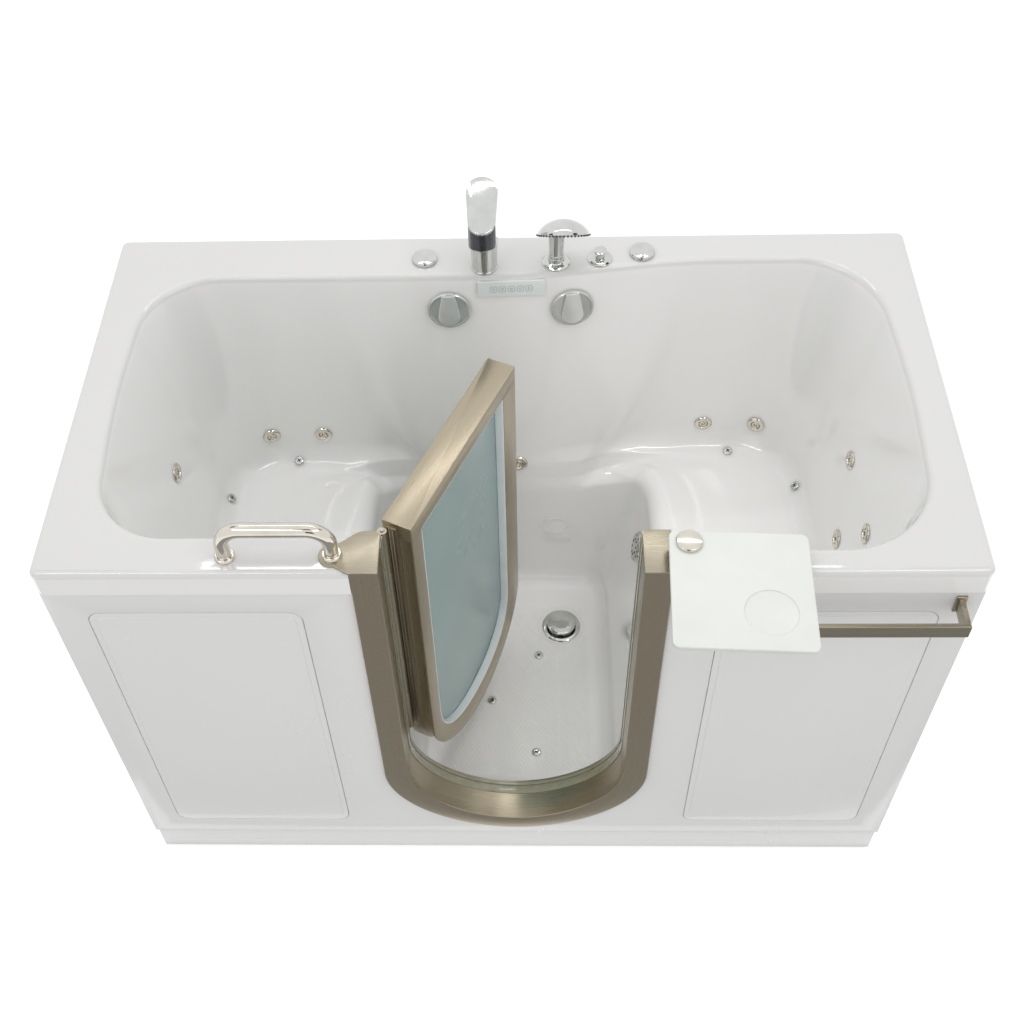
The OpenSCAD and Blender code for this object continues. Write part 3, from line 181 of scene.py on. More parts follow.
# The slots of the part come first, then finishes for single pieces. A grain is scale, strength and distance.
finishes = {
    "acrylic": ("glossyAcrylic", acrylic),
    "nickel_frame": ("brushedNickel", {
        **brushed, "dark": (0.39, 0.35, 0.27), "pale": (0.41, 0.368, 0.286), "source": "Object",
        "stretch": (1, 160, 160), "grain": (30, 0.1, 0.0003), "grainStretch": (1, 90, 90)}),
    "polished_nickel": ("polishedNickel", {
        "dark": (0.66, 0.62, 0.55), "pale": (0.74, 0.7, 0.63), "rough": (0.05, 0.11), "scale": 30,
        "fixed": metal, "grain": (140, 0.02, 0.0003)}),
    "chrome": ("mirrorChrome", {
        "dark": (0.6, 0.61, 0.59), "pale": (0.67, 0.68, 0.66), "rough": (0.03, 0.08), "scale": 40,
        "fixed": metal, "grain": (160, 0.006, 0.0003)}),
    "steel": ("galvanisedSteel", {
        "dark": (0.42, 0.43, 0.44), "pale": (0.58, 0.59, 0.6), "rough": (0.32, 0.5), "scale": 55,
        "fixed": worn, "grain": (300, 0.15, 0.0005)}),
    "rubber": ("sealRubber", {
        "dark": (0.25, 0.24, 0.165), "pale": (0.31, 0.3, 0.21), "rough": (0.16, 0.24), "scale": 60,
        "fixed": {"Coat Weight": 0.8, "Coat Roughness": 0.08, "Coat IOR": 1.7}, "grain": (400, 0.2, 0.0003)}),
    "white_gasket": ("whiteGasket", {
        "dark": (0.8, 0.84, 0.86), "pale": (0.87, 0.9, 0.91), "rough": (0.3, 0.42), "scale": 25,
        "grain": (350, 0.08, 0.0003)}),
    "frosted_glass": ("frostedGlass", {
        "dark": (0.3, 0.425, 0.415), "pale": (0.32, 0.445, 0.435), "rough": (0.22, 0.3), "scale": 3,
        "fixed": {"Transmission Weight": 0.12, "IOR": 1.5, "Coat Weight": 0.5, "Coat Roughness": 0.22},
        "grain": (900, 0.03, 0.0002)}),
    "control_glass": ("controlGlass", {
        "dark": (0.74, 0.79, 0.775), "pale": (0.78, 0.83, 0.81), "rough": (0.06, 0.1), "scale": 20,
        "fixed": {"Coat Weight": 0.8}, "grain": (30, 0.02, 0.0005)}),
    "tray": ("satinGlassTray", {
        "dark": (0.7, 0.715, 0.68), "pale": (0.73, 0.745, 0.71), "rough": (0.3, 0.4), "scale": 18,
        "fixed": {"Coat Weight": 0.2, "Coat Roughness": 0.3}, "grain": (700, 0.05, 0.0002)}),
    "brass": ("castBrass", {
        "dark": (0.42, 0.29, 0.12), "pale": (0.56, 0.41, 0.19), "rough": (0.28, 0.42), "scale": 60,
        "fixed": metal, "grain": (350, 0.2, 0.0004)}),
    "copper_pipe": ("copperPipe", {
        "dark": (0.45, 0.2, 0.1), "pale": (0.62, 0.31, 0.17), "rough": (0.24, 0.4), "scale": 30,
        "fixed": metal, "grain": (90, 0.1, 0.0005), "grainStretch": (0.3, 1, 1)}),
    "white_pipe": ("whitePipe", {
        "dark": (0.72, 0.72, 0.7), "pale": (0.79, 0.79, 0.775), "rough": (0.36, 0.5), "scale": 14,
        "grain": (260, 0.08, 0.0005)}),
    "air_hose": ("airHose", {
        "dark": (0.58, 0.61, 0.63), "pale": (0.66, 0.69, 0.71), "rough": (0.34, 0.48), "scale": 40,
        "grain": (300, 0.1, 0.0005)}),
    "magnet": ("magnetSteel", {
        "dark": (0.16, 0.16, 0.17), "pale": (0.27, 0.27, 0.28), "rough": (0.3, 0.46), "scale": 120,
        "fixed": worn, "grain": (500, 0.1, 0.0003)}),
    "foot": ("footRubber", {
        "dark": (0.06, 0.06, 0.065), "pale": (0.1, 0.1, 0.105), "rough": (0.5, 0.68), "scale": 80,
        "grain": (400, 0.25, 0.0004)}),
    "board": ("plywoodBoard", {
        "dark": (0.3, 0.2, 0.11), "pale": (0.45, 0.33, 0.2), "rough": (0.5, 0.7), "scale": 9,
        "stretch": (1, 14, 14), "grain": (30, 0.3, 0.0006), "grainStretch": (1, 12, 12)}),
    "motor": ("motorPaint", {
        "dark": (0.05, 0.06, 0.075), "pale": (0.08, 0.09, 0.11), "rough": (0.34, 0.5), "scale": 30,
        "grain": (420, 0.25, 0.0005)}),
    "pump_plastic": ("pumpPlastic", {
        "dark": (0.018, 0.02, 0.022), "pale": (0.035, 0.038, 0.042), "rough": (0.4, 0.58), "scale": 40,
        "grain": (380, 0.3, 0.0004)}),
    "box_plastic": ("boxPlastic", {
        "dark": (0.57, 0.58, 0.59), "pale": (0.65, 0.66, 0.67), "rough": (0.4, 0.55), "scale": 20,
        "grain": (420, 0.15, 0.0004)}),
    "skirt": ("skirtAcrylic", {
        **acrylic, "top": None, "dark": (0.8, 0.797, 0.79), "pale": (0.808, 0.805, 0.798),
        "stretch": (2, 2, 1), "rough": (0.24, 0.28), "fixed": {"Coat Weight": 0.2},
        "grain": (9, 0.01, 0.002)}),
    "band": ("brushedBand", brushed),
    "satin": ("satinChrome", {**satin, "dark": (0.7, 0.71, 0.69), "pale": (0.75, 0.76, 0.74)}),
    "dialFace": ("dialFace", {**satin, "dark": (0.54, 0.55, 0.54), "pale": (0.6, 0.61, 0.59)}),
    "visor": ("visorGlass", {
        "dark": (0.012, 0.016, 0.024), "pale": (0.022, 0.028, 0.04), "rough": (0.04, 0.09), "scale": 60,
        "fixed": {"Coat Weight": 1.0}, "grain": (140, 0.02, 0.0003)}),
    "ink": ("keyPrint", {
        "dark": (0.24, 0.28, 0.29), "pale": (0.3, 0.34, 0.35), "rough": (0.3, 0.4), "scale": 300,
        "grain": (900, 0.05, 0.0001)}),
}
surfaces = {slot: makeSurface(*look) for slot, look in finishes.items()}
for name, obj in cadNodes.items():
    for slot in obj.material_slots:
        slot.material = surfaces[slotOf[name]]
print("finishes mixed:", len(surfaces))

studio = {
    "fill": 0.84, "floorSize": 16, "floorTone": 0.86, "floorLift": 0.4,
    "seenBy": ("Is Camera Ray", "Is Glossy Ray", "Is Transmission Ray"),  # rays that meet plain white
    "lamps": [  # place, aim, width, depth, watts, seen in mirrors
        ((-1.3, -1.5, 3.2), (0, 0, 0.6), 1.5, 0.3, 0.8, False),
        ((1.4, -1.2, 3.3), (0, 0, 0.6), 1.5, 0.3, 6, False),
        ((0.0, 1.3, 3.4), (0, 0, 0.6), 2.4, 0.1, 6, True),
        ((-0.1, 0.05, 3.4), (-0.1, 0.05, 0.6), 1.9, 1.0, 13, False),
    ],
    "cards": [  # shapes that only mirrors see: place, aim, width, depth, tone
        ((0, -1.28, 0.012), (0, -1.28, 1), 3.0, 1.66, 0.36),
        ((-1.3, -1.5, 3.2), (0, 0, 0.6), 1.6, 0.22, 9),
        ((1.4, -1.2, 3.3), (0, 0, 0.6), 1.6, 0.22, 9),
        ((-0.2, -1.6, 3.5), (-0.3, -0.37, 1.08), 1.3, 0.6, 0.03),
        ((0.0, -2.6, 1.9), (0, 0, 1), 0.9, 0.9, 0.06),
        ((-1.3, 0.3, 2.4), (0, 0.3, 1), 0.5, 0.5, 0.08),
        ((1.3, 0.3, 2.4), (0, 0.3, 1), 0.5, 0.5, 0.08),
    ],
}


def rayMask(tree, outputs):
    path = nodeOf(tree, "ShaderNodeLightPath", {})
    total = path.outputs[outputs[0]]
    for name in outputs[1:]:
        total = mathOf(tree, "MAXIMUM", total, path.outputs[name])
    return total


def makeWorld(look):
    world = bpy.data.worlds.new("studioWorld")
    scene.world = world
    world.use_nodes = True
    tree = world.node_tree
    tree.nodes.clear()
    fill, seen = (nodeOf(tree, "ShaderNodeBackground", {"Color": (1, 1, 1, 1), "Strength": level}).outputs[0]
                  for level in (look["fill"], 1.0))
    mixed = nodeOf(tree, "ShaderNodeMixShader", {0: rayMask(tree, look["seenBy"]), 1: fill, 2: seen})
    nodeOf(tree, "ShaderNodeOutputWorld", {"Surface": mixed.outputs[0]})


def flatCard(name, width, depth, surface):
    x, y = width / 2, depth / 2
    mesh = bpy.data.meshes.new(name)
    mesh.from_pydata([(-x, -y, 0), (x, -y, 0), (x, y, 0), (-x, y, 0)], [], [(0, 1, 2, 3)])
    mesh.materials.append(surface)
    return objectOf(name, mesh)


def aimed(obj, place, aim, front):
    obj.location = place
    obj.rotation_euler = (Vector(aim) - Vector(place)).to_track_quat(front, "Y").to_euler()
    return obj


def makeFloor(look):
    surface, tree = newSurface("paleFloor")
    tone = look["floorTone"]
    wire(tree, tree.nodes["Principled BSDF"], {
        "Base Color": (tone, tone, tone, 1), "Roughness": 0.9, "Specular IOR Level": 0.1,
        "Emission Color": (1, 1, 1, 1),
        "Emission Strength": mathOf(tree, "MULTIPLY", rayMask(tree, look["seenBy"]), look["floorLift"])})
    floor = flatCard("studioFloor", look["floorSize"], look["floorSize"], surface)


def makeCards(look):
    for i, (place, aim, width, depth, tone) in enumerate(look["cards"]):
        surface, tree = newSurface(f"mirrorCard{i}")
        glow = nodeOf(tree, "ShaderNodeEmission", {"Strength": tone})
        wire(tree, tree.nodes["Material Output"], {"Surface": glow.outputs[0]})
        card = aimed(flatCard(f"mirrorCard{i}", width, depth, surface), place, aim, "Z")
        card.visible_camera = card.visible_diffuse = card.visible_shadow = card.visible_transmission = False


def makeLamps(look):
    for i, (place, aim, width, depth, watts, mirrored) in enumerate(look["lamps"]):
        data = bpy.data.lights.new(f"softBox{i}", "AREA")
        data.shape = "RECTANGLE"
        data.size, data.size_y, data.energy = width, depth, watts
        lamp = aimed(objectOf(f"softBox{i}", data), place, aim, "-Z")
        lamp.visible_glossy = mirrored


makeWorld(studio)
makeFloor(studio)
makeCards(studio)
makeLamps(studio)
scene.view_settings.view_transform = "Standard"
print("studio lit")


# Points and faces of a mesh, all in millimetres until a piece is made
class Form:
    def __init__(self):
        self.points, self.faces = [], []

    def add(self, points, faces, place=None):
        start = len(self.points)
        self.points.extend(place @ Vector(p) if place else Vector(p) for p in points)
        self.faces.extend(tuple(start + i for i in f) for f in faces)
        return self

    # A skin through rings of equal length, each closed on itself
    def skin(self, rings, place=None, ends=True):
        count = len(rings[0])
        faces = [(k + j, k + (j + 1) % count, k + count + (j + 1) % count, k + count + j)
                 for k in range(0, (len(rings) - 1) * count, count) for j in range(count)]
        if ends:
            last = (len(rings) - 1) * count
            faces += [tuple(reversed(range(count))), tuple(range(last, last + count))]
        return self.add([p for ring in rings for p in ring], faces, place)

    # A profile of radius and height turned about Z
    def lathe(self, profile, place=None, steps=64):
        turns = [2 * math.pi * i / steps for i in range(steps)]
        return self.skin([[(r * math.cos(a), r * math.sin(a), z) for a in turns] for r, z in profile],
                         place, ends=False)

    def rod(self, radius, low, high, place, steps):
        return self.lathe([(0, low), (radius, low), (radius, high), (0, high)], place, steps)

    # An outline standing between two heights, its edges rounded
    def plate(self, outline, low, high, edge, place=None, steps=3):
        turns = [math.pi / 2 * i / steps for i in range(steps + 1)]
        lower = [(edge * (1 - math.sin(a)), low + edge * (1 - math.cos(a))) for a in turns]
        upper = [(edge * (1 - math.cos(a)), high - edge * (1 - math.sin(a))) for a in turns]
        rings = [[(x, y, z) for x, y in inset(outline, d)] for d, z in lower + upper]
        return self.skin(rings, place)

    # What is drawn in X and Y stands in X and Z, between two Y positions
    def wallPlate(self, outline, y0, y1, edge, place=None, steps=3):
        return self.plate(outline, -y1, -y0, edge, place @ standing if place else standing, steps)

    # A closed band between two matched outlines in X and Y; its section is drawn across the band and upright
    def band(self, outer, inner, section, place=None):
        rings = []
        for a, b in zip(outer, inner):
            out, across = Vector(a), Vector(b) - Vector(a)
            wide = across.length
            across.normalize()
            rings.append([(*(out + across * s), z) for s, z in section(wide)])
        return self.skin(rings, place)

    # A round tube along a path that lies in one upright plane
    def tube(self, path, radius, steps):
        points = [Vector(p) for p in path]
        side = (points[-1] - points[0]).cross(points[len(points) // 2] - points[0]).normalized()
        rings = []
        for i, p in enumerate(points):
            along = (points[min(i + 1, len(points) - 1)] - points[max(i - 1, 0)]).normalized()
            out = along.cross(side)
            rings.append([p + radius * (math.cos(a) * side + math.sin(a) * out)
                          for a in (2 * math.pi * k / steps for k in range(steps))])
        return self.skin(rings)


def inset(outline, distance):
    pts = [Vector(p) for p in outline]
    area = sum(a.x * b.y - b.x * a.y for a, b in zip(pts, pts[1:] + pts[:1]))
    side = 1 if area > 0 else -1
    moved = []
    for i, p in enumerate(pts):
        back = (p - pts[i - 1]).normalized()
        ahead = (pts[(i + 1) % len(pts)] - p).normalized()
        inward = Vector((-back.y - ahead.y, back.x + ahead.x)) * side
        reach = inward.dot(Vector((-back.y, back.x)) * side)
        moved.append(p + inward * (distance / max(reach, 0.5)))
    return moved


# Corners of a line or outline turned into small arcs
def rounded(points, radius, steps, closed=False):
    pts = [Vector(p) for p in points]
    done = []
    for i, p in enumerate(pts):
        back, ahead = pts[i - 1] - p, pts[(i + 1) % len(pts)] - p
        anEnd = not closed and i in (0, len(pts) - 1)
        if anEnd or back.angle(ahead) > math.radians(177):
            done.append(p)
            continue
        reach = min(radius / math.tan(back.angle(ahead) / 2), 0.45 * back.length, 0.45 * ahead.length)
        a, b = p + back.normalized() * reach, p + ahead.normalized() * reach
        done += [a.lerp(p, t).lerp(p.lerp(b, t), t) for t in (k / steps for k in range(steps + 1))]
    return done


def arc(x, y, r, start, end, steps):
    return [(x + r * math.cos(math.radians(a)), y + r * math.sin(math.radians(a)))
            for a in np.linspace(start, end, steps + 1)]


def roundRect(x0, y0, x1, y1, r, steps=10):
    return (arc(x1 - r, y1 - r, r, 0, 90, steps) + arc(x0 + r, y1 - r, r, 90, 180, steps)
            + arc(x0 + r, y0 + r, r, 180, 270, steps) + arc(x1 - r, y0 + r, r, 270, 360, steps))


def boxSection(low, high, radius):
    return lambda wide: rounded([(0, low), (wide, low), (wide, high), (0, high)], radius, 3, closed=True)


def spot(x, y, z, turnX=0, turnY=0, turnZ=0):
    turned = Euler([math.radians(a) for a in (turnX, turnY, turnZ)])
    return Matrix.Translation((x, y, z)) @ turned.to_matrix().to_4x4()


standing = spot(0, 0, 0, turnX=90)


def tidied(mesh, flat=False):
    work = bmesh.new()
    work.from_mesh(mesh)
    bmesh.ops.remove_doubles(work, verts=work.verts, dist=2e-6)
    bmesh.ops.dissolve_degenerate(work, edges=work.edges, dist=1e-7)
    if flat:
        bmesh.ops.dissolve_limit(work, angle_limit=math.radians(0.4), verts=work.verts, edges=work.edges)
    bmesh.ops.recalc_face_normals(work, faces=work.faces)
    work.to_mesh(mesh)
    work.free()
    return mesh


def meshOf(name, form):
    mesh = bpy.data.meshes.new(name)
    mesh.from_pydata([p * mm for p in form.points], [], form.faces)
    return tidied(mesh)


# Moves a mesh in metres by a place in millimetres
def placed(mesh, place):
    mesh.transform(Matrix.Scale(mm, 4) @ place @ Matrix.Scale(1 / mm, 4))


# Turns an object's modifiers into its plain mesh
def applied(obj):
    bpy.context.view_layer.update()
    mesh = bpy.data.meshes.new_from_object(obj.evaluated_get(bpy.context.evaluated_depsgraph_get()))
    obj.modifiers.clear()
    obj.data = mesh
    return obj


def carved(obj, form):
    cutter = objectOf("cutter", meshOf("cutter", form))
    cut = obj.modifiers.new("carve", "BOOLEAN")
    cut.operation, cut.object, cut.solver = "DIFFERENCE", cutter, "MANIFOLD"
    applied(obj)
    bpy.data.objects.remove(cutter)
    return obj


# Every piece gets its finish, its body and its slot from the CAD node that it stands for or sits on
def fit(obj, node, surface=None, angle=32, takesOver=True):
    obj.data.materials.clear()
    obj.data.materials.append(surface or surfaces[slotOf[node]])
    obj.data.shade_smooth()
    obj.data.set_sharp_from_angle(angle=math.radians(angle))
    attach(obj, bodyOf[node])
    if takesOver:
        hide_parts(node)


def fitForm(name, form, node, surface=None, **settings):
    fit(objectOf(name, meshOf(name, form)), node, surface, **settings)


# A CAD node's own shape with softened edges
def softened(name, node, width, surface=None):
    obj = objectOf(name, cadNodes[node].data.copy())
    tidied(obj.data, flat=True)
    bevel = obj.modifiers.new("softEdge", "BEVEL")
    bevel.width, bevel.segments = width * mm, 2
    bevel.limit_method, bevel.angle_limit = "ANGLE", math.radians(30)
    bevel.use_clamp_overlap = True
    fit(applied(obj), node, surface)


shell = {
    "length": 1524, "depth": 810, "deck": 1016, "lip": 55, "wall": 6,
    "seat": 505, "well": 100, "wellHalf": 215, "wellHalfTop": 290, "dish": 8,
    "rim": 9, "cove": 45, "edge": 35, "deckCorner": 15, "bow": 7,
    # middle and radii of the rim's corners, from the back right one round
    "corners": [(540, 165, 155, 164), (-545, 150, 145, 140), (-555, -194, 130, 134), (535, -191, 160, 165)],
    "rimHalf": (695, 310),
    "backStep": (-20, 420), "frontStep": (257, 230),  # where the rim's long sides shift, and over what length
    "middle": (0, -20), "wellPower": 9, "wellBack": 258, "wellFront": 305.88,
    "lean": 88, "frontLean": -0.006, "backLean": 0.0294, "leanStep": (-20, 90),
    "tongueHalf": 320, "tongueDrop": 580, "tongueTop": 26, "tongueSlope": 0.088, "tongueEdge": (0.95, 0.4),
    "narrow": (40, 120),  # ledges narrower than this turn into plain wall
    "cornerSteps": 22, "longSteps": 78, "endSteps": 26,
}
deck, seat, well = shell["deck"], shell["seat"], shell["well"]
halfLength, halfDepth = shell["length"] / 2, shell["depth"] / 2
rimX, rimY = shell["rimHalf"]
wellRise = seat - well - shell["cove"] - shell["edge"]


# From 0 to 1, with a soft start and end, from a place on over a length
def smooth(value, start=0, length=1):
    u = np.clip((value - start) / length, 0, 1)
    return u * u * (3 - 2 * u)


def mix(a, b, t):
    return a + (b - a) * t


def level(points, z):
    return np.c_[points, np.full(len(points), z)]


def rimOutline(corners, bow):
    arcs = [np.array([(c[0] + c[2] * math.cos(a), c[1] + c[3] * math.sin(a)) for a in
                      np.linspace(q * math.pi / 2, (q + 1) * math.pi / 2, shell["cornerSteps"] + 1)])
            for q, c in enumerate(corners)]

    def long(a, b, step):
        x = mix(a[0], b[0], np.linspace(0, 1, shell["longSteps"] + 2)[1:-1])
        low, high = (a, b) if a[0] < b[0] else (b, a)
        return np.c_[x, mix(low[1], high[1], smooth(x, *step))]

    def end(a, b, side):
        t = np.linspace(0, 1, shell["endSteps"] + 2)[1:-1]
        return np.c_[mix(a[0], b[0], t) + side * bow * np.sin(math.pi * t), mix(a[1], b[1], t)]
    return np.vstack([
        arcs[0], long(arcs[0][-1], arcs[1][0], shell["backStep"]), arcs[1], end(arcs[1][-1], arcs[2][0], -1),
        arcs[2], long(arcs[2][-1], arcs[3][0], shell["frontStep"]), arcs[3], end(arcs[3][-1], arcs[0][0], 1)])


# The back wall leans further inside the tongue, a half ellipse below the deck
def backSlope(x, z):
    e = (x / shell["tongueHalf"]) ** 2 + ((deck - shell["tongueTop"] - z) / shell["tongueDrop"]) ** 2
    return mix(shell["backLean"], shell["tongueSlope"], 1 - smooth(e, *shell["tongueEdge"]))


def wallAt(p, z):
    drop, fall = deck - z, deck - seat
    x = p[:, 0] * (1 - np.minimum(drop, fall) * shell["lean"] / fall / rimX)
    slope = np.where(p[:, 1] > 100, backSlope(p[:, 0], z), shell["backLean"])
    return np.c_[x, p[:, 1] - drop * mix(shell["frontLean"], slope, smooth(p[:, 1], *shell["leanStep"]))]


def wellWidth(z):
    return mix(shell["wellHalf"], shell["wellHalfTop"], np.clip((z - well - shell["cove"]) / wellRise, 0, 1))


def unit(v):
    return v / np.maximum(np.linalg.norm(v, axis=1, keepdims=True), 1e-3)


def wellAt(p, z):
    middle = np.array(shell["middle"])
    out = wallAt(p, z) - middle
    way = unit(out)
    reachY = np.where(way[:, 1] > 0, shell["wellBack"], shell["wellFront"])
    power = shell["wellPower"]
    radius = (np.abs(way[:, 0] / wellWidth(z)) ** power + np.abs(way[:, 1] / reachY) ** power) ** (-1 / power)
    return middle + way * np.minimum(np.linalg.norm(out, axis=1), radius)[:, None]


# One ring of the basin. Over a seat it follows the cove, the seat and its rounded edge.
# Elsewhere it is a ring of the plain wall, at the height plainZ.
def basinRing(rim, plainZ, seatZ=None, turn=0, over=0, roll=0, dish=0, spread=0):
    top, foot = wallAt(rim, np.full(len(rim), seat)), wellAt(rim, np.full(len(rim), seat - shell["edge"]))
    wide = np.linalg.norm(top - foot, axis=1)
    cove, edge = np.minimum(shell["cove"], 0.4 * wide), np.minimum(shell["edge"], 0.4 * wide)
    turnA, rollA = math.radians(turn), math.radians(roll)
    if seatZ is None:
        seatZ = seat + cove * (1 - math.sin(turnA)) - edge * (1 - math.cos(rollA)) - dish
    z = mix(plainZ, seatZ, smooth(wide, *shell["narrow"])) + np.zeros(len(rim))
    reach = cove * (1 - math.cos(turnA)) + over * (wide - cove - edge) + edge * math.sin(rollA)
    start = wallAt(rim, np.maximum(z, seat)) * [1 + spread / rimX, 1 + spread / rimY]
    return np.c_[start + unit(foot - top) * reach[:, None], z]


# From the rim's rounded edge down: wall, cove, seat, the seat's edge, the well's wall, its cove and its floor.
# The plain wall's heights run evenly beside them.
def basinRings(rim):
    cove, middle, rimR = shell["cove"], np.array(shell["middle"]), shell["rim"]
    rings = []
    for a in np.radians([0, 15, 30, 45, 60, 75]):
        z = deck - rimR * (1 - math.cos(a))
        rings.append(basinRing(rim, z, z, spread=rimR * (1 - math.sin(a))))
    for z in np.linspace(deck - rimR, seat + cove, 26):
        rings.append(basinRing(rim, z + 10 * min(1, max(0, (790 - z) / 100)), z))
    for turn in range(10, 91, 8):
        rings.append(basinRing(rim, 560 - turn / 2, turn=turn))
    for over in np.linspace(0, 1, 18)[1:]:
        dish = shell["dish"] * float(smooth(min(over, 1 - over), 0, 0.33))
        rings.append(basinRing(rim, 515 - 45 * over, turn=90, over=over, dish=dish))
    for roll in range(10, 91, 10):
        rings.append(basinRing(rim, 470 - roll / 2, turn=90, over=1, roll=roll))
    for z in np.linspace(400, well + cove, 10):
        rings.append(level(wellAt(rim, np.full(len(rim), z)), z))
    for a in np.radians(range(10, 91, 10)):
        z = well + cove * (1 - math.sin(a))
        flat = wellAt(rim, np.full(len(rim), z))
        flat = flat + unit(middle - flat) * cove * (1 - math.cos(a))
        rings.append(level(flat, z))
    return rings + [level(middle + (flat - middle) * share, well) for share in (0.85, 0.65, 0.45, 0.25, 0.08)]


def deckRings():
    r, edge = shell["deckCorner"], shell["rim"]

    def ring(insetBy, z):
        corners = [(sx * (halfLength - r), sy * (halfDepth - r), r - insetBy, r - insetBy)
                   for sx, sy in ((1, 1), (-1, 1), (-1, -1), (1, -1))]
        return level(rimOutline(corners, 0), z)
    rings = [ring(0, deck - shell["lip"]), ring(0, deck - edge - 2)]
    rings += [ring(edge * (1 - math.cos(a)), deck - edge * (1 - math.sin(a)))
              for a in np.radians(range(0, 91, 15))]
    return rings + [ring(edge + 2, deck)]


# Places on the basin's walls
def spreadAt(z):
    return 1 - (deck - z) * shell["lean"] / (deck - seat) / rimX


def backWallY(x, z):
    across = x / spreadAt(z)

    def roundOff(corner, side):
        u = max(0, side * (across - corner[0]) / corner[2])
        return corner[3] * (1 - math.sqrt(1 - u * u))
    right, left = shell["corners"][:2]
    return (mix(left[1] + left[3], right[1] + right[3], float(smooth(across, *shell["backStep"])))
            - float(backSlope(across, z)) * (deck - z) - roundOff(right, 1) - roundOff(left, -1))


# The way a wall turns at a place, from two points 5 mm to each side
def yawOf(wall, at):
    return math.degrees(math.atan((wall(at + 5) - wall(at - 5)) / 10))


def onBackWall(x, z, tilt):
    yaw = yawOf(lambda at: backWallY(at, z), x)
    return spot(x, backWallY(x, z), z, turnZ=yaw) @ spot(0, 0, 0, turnX=90 - tilt)


def endWallX(side, y, z):
    back, front = (shell["corners"][i] for i in ((0, 3) if side > 0 else (1, 2)))
    t = (y - front[1]) / (back[1] - front[1])
    flat = mix(front[0] + side * front[2], back[0] + side * back[2], t)
    return (flat + side * shell["bow"] * math.sin(math.pi * t)) * spreadAt(z)


def onEndWall(side, y, z):
    tilt = math.degrees(math.atan(shell["lean"] / (deck - seat)))
    yaw = yawOf(lambda at: endWallX(side, at, z), y)
    return spot(endWallX(side, y, z), y, z, turnZ=-yaw) @ spot(0, 0, 0, turnY=-side * (90 - tilt))


backTilt = math.degrees(math.atan(shell["backLean"]))
tongueTilt = math.degrees(math.atan(shell["tongueSlope"]))
fittings = {
    "backJets": [(-516, 581, 1.2, backTilt), (-404, 581, 0, backTilt), (413, 565, 0, backTilt),
                 (525, 570, 1.6, 4), (15, 518, 2.6, 9)],  # X, Z, out of the wall, tilt
    "endJets": [(1, 51, 749), (1, -47, 628), (1, -130, 754), (-1, 30, 748)],  # side, Y, Z
    "seatAir": [(-464, 260, 512.5, 0, 25), (-596, 145, 525, 41, 0), (469, 285, 507, 0, 17.5),
                (598, 171, 524, -41, 0)],  # X, Y, Z, turns about Y and X
    "wellAir": [(57, 21), (-49, -97), (50, -226)],
    "dials": [(-116, 938), (122, 932)],
    "drains": [(-110, 100), (110, 100)],
    "suction": (105, 400),
    "deckHoles": [(-161, 336, 12), (-46, 324, 12), (91, 326, 13), (175, 334, 11), (256, 348, 12),
                  (285, -371, 6), (-449, -370, 4), (-277, -370, 4)],  # X, Y, radius
}
jetPlaces = [onBackWall(x, z, tilt) @ spot(0, 0, out) for x, z, out, tilt in fittings["backJets"]]
jetPlaces += [onEndWall(*p) for p in fittings["endJets"]]
seatAirPlaces = [spot(x, y, z) @ spot(0, 0, 0, turnY=ty) @ spot(0, 0, 0, turnX=tx)
                 for x, y, z, ty, tx in fittings["seatAir"]]
wellAirPlaces = [spot(x, y, well) for x, y in fittings["wellAir"]]
dialPlaces = [onBackWall(x, z, tongueTilt) for x, z in fittings["dials"]]
drainPlaces = [spot(x, y, well) for x, y in fittings["drains"]]
riserTilt = math.degrees(math.atan((shell["wellHalfTop"] - shell["wellHalf"]) / wellRise))
suctionY, suctionZ = fittings["suction"]
suctionPlace = spot(float(wellWidth(np.array(suctionZ))), suctionY, suctionZ, turnY=-90 + riserTilt)

door = {
    "middle": 7, "half": 255.5, "face": 46, "bottom": 112, "thick": 54, "open": 65.5, "hinge": (-203, -309),
    "frameTurn": 342, "throatTurn": 365, "rise": 5, "power": 1.9,  # heights where the sides turn into the bow
    "bar": 36, "glassLeft": 33, "glassRight": 50, "glassTurn": 390, "glassDrop": 165, "glassPower": 2.2,
}
throatHalf, throatBottom = door["half"] - door["face"], door["bottom"] + door["face"] - 1
frameY = (-halfDepth - 1, -halfDepth + 83)
doorX = (door["hinge"][0] + 12, door["middle"] + throatHalf - 4.5)
doorY = (door["hinge"][1] + 6 - door["thick"], door["hinge"][1] + 6)
hingePlace = spot(*door["hinge"], 0)
doorPlace = hingePlace @ spot(0, 0, 0, turnZ=door["open"]) @ hingePlace.inverted()
barZ = deck - door["bar"]


# Down the right side, round the bottom and up the left side
def bow(middle, half, drop, top, turnZ, power):
    side = [(middle + half, z) for z in np.linspace(top, turnZ, 24, endpoint=False)]
    low = []
    for a in np.linspace(0, math.pi, 73):
        c, s = math.cos(a), max(0.0, math.sin(a))
        low.append((middle + half * math.copysign(abs(c) ** (2 / power), c), turnZ - drop * s ** (2 / power)))
    return side + low + [(2 * middle - x, z) for x, z in reversed(side)]


def frameBow(grow, top=deck):
    turn = door["frameTurn"]
    return bow(door["middle"], door["half"] + grow, turn - door["bottom"] + grow, top, turn, door["power"])


def throatBow(grow, top=deck):
    turn = door["throatTurn"]
    return bow(door["middle"], throatHalf + grow, turn - throatBottom + grow, top, turn, door["power"])


def doorBow(grow, top):
    half, turn = (doorX[1] - doorX[0]) / 2, door["throatTurn"]
    return bow(sum(doorX) / 2, half + grow, turn - door["rise"] - throatBottom + grow, top, turn, door["power"])


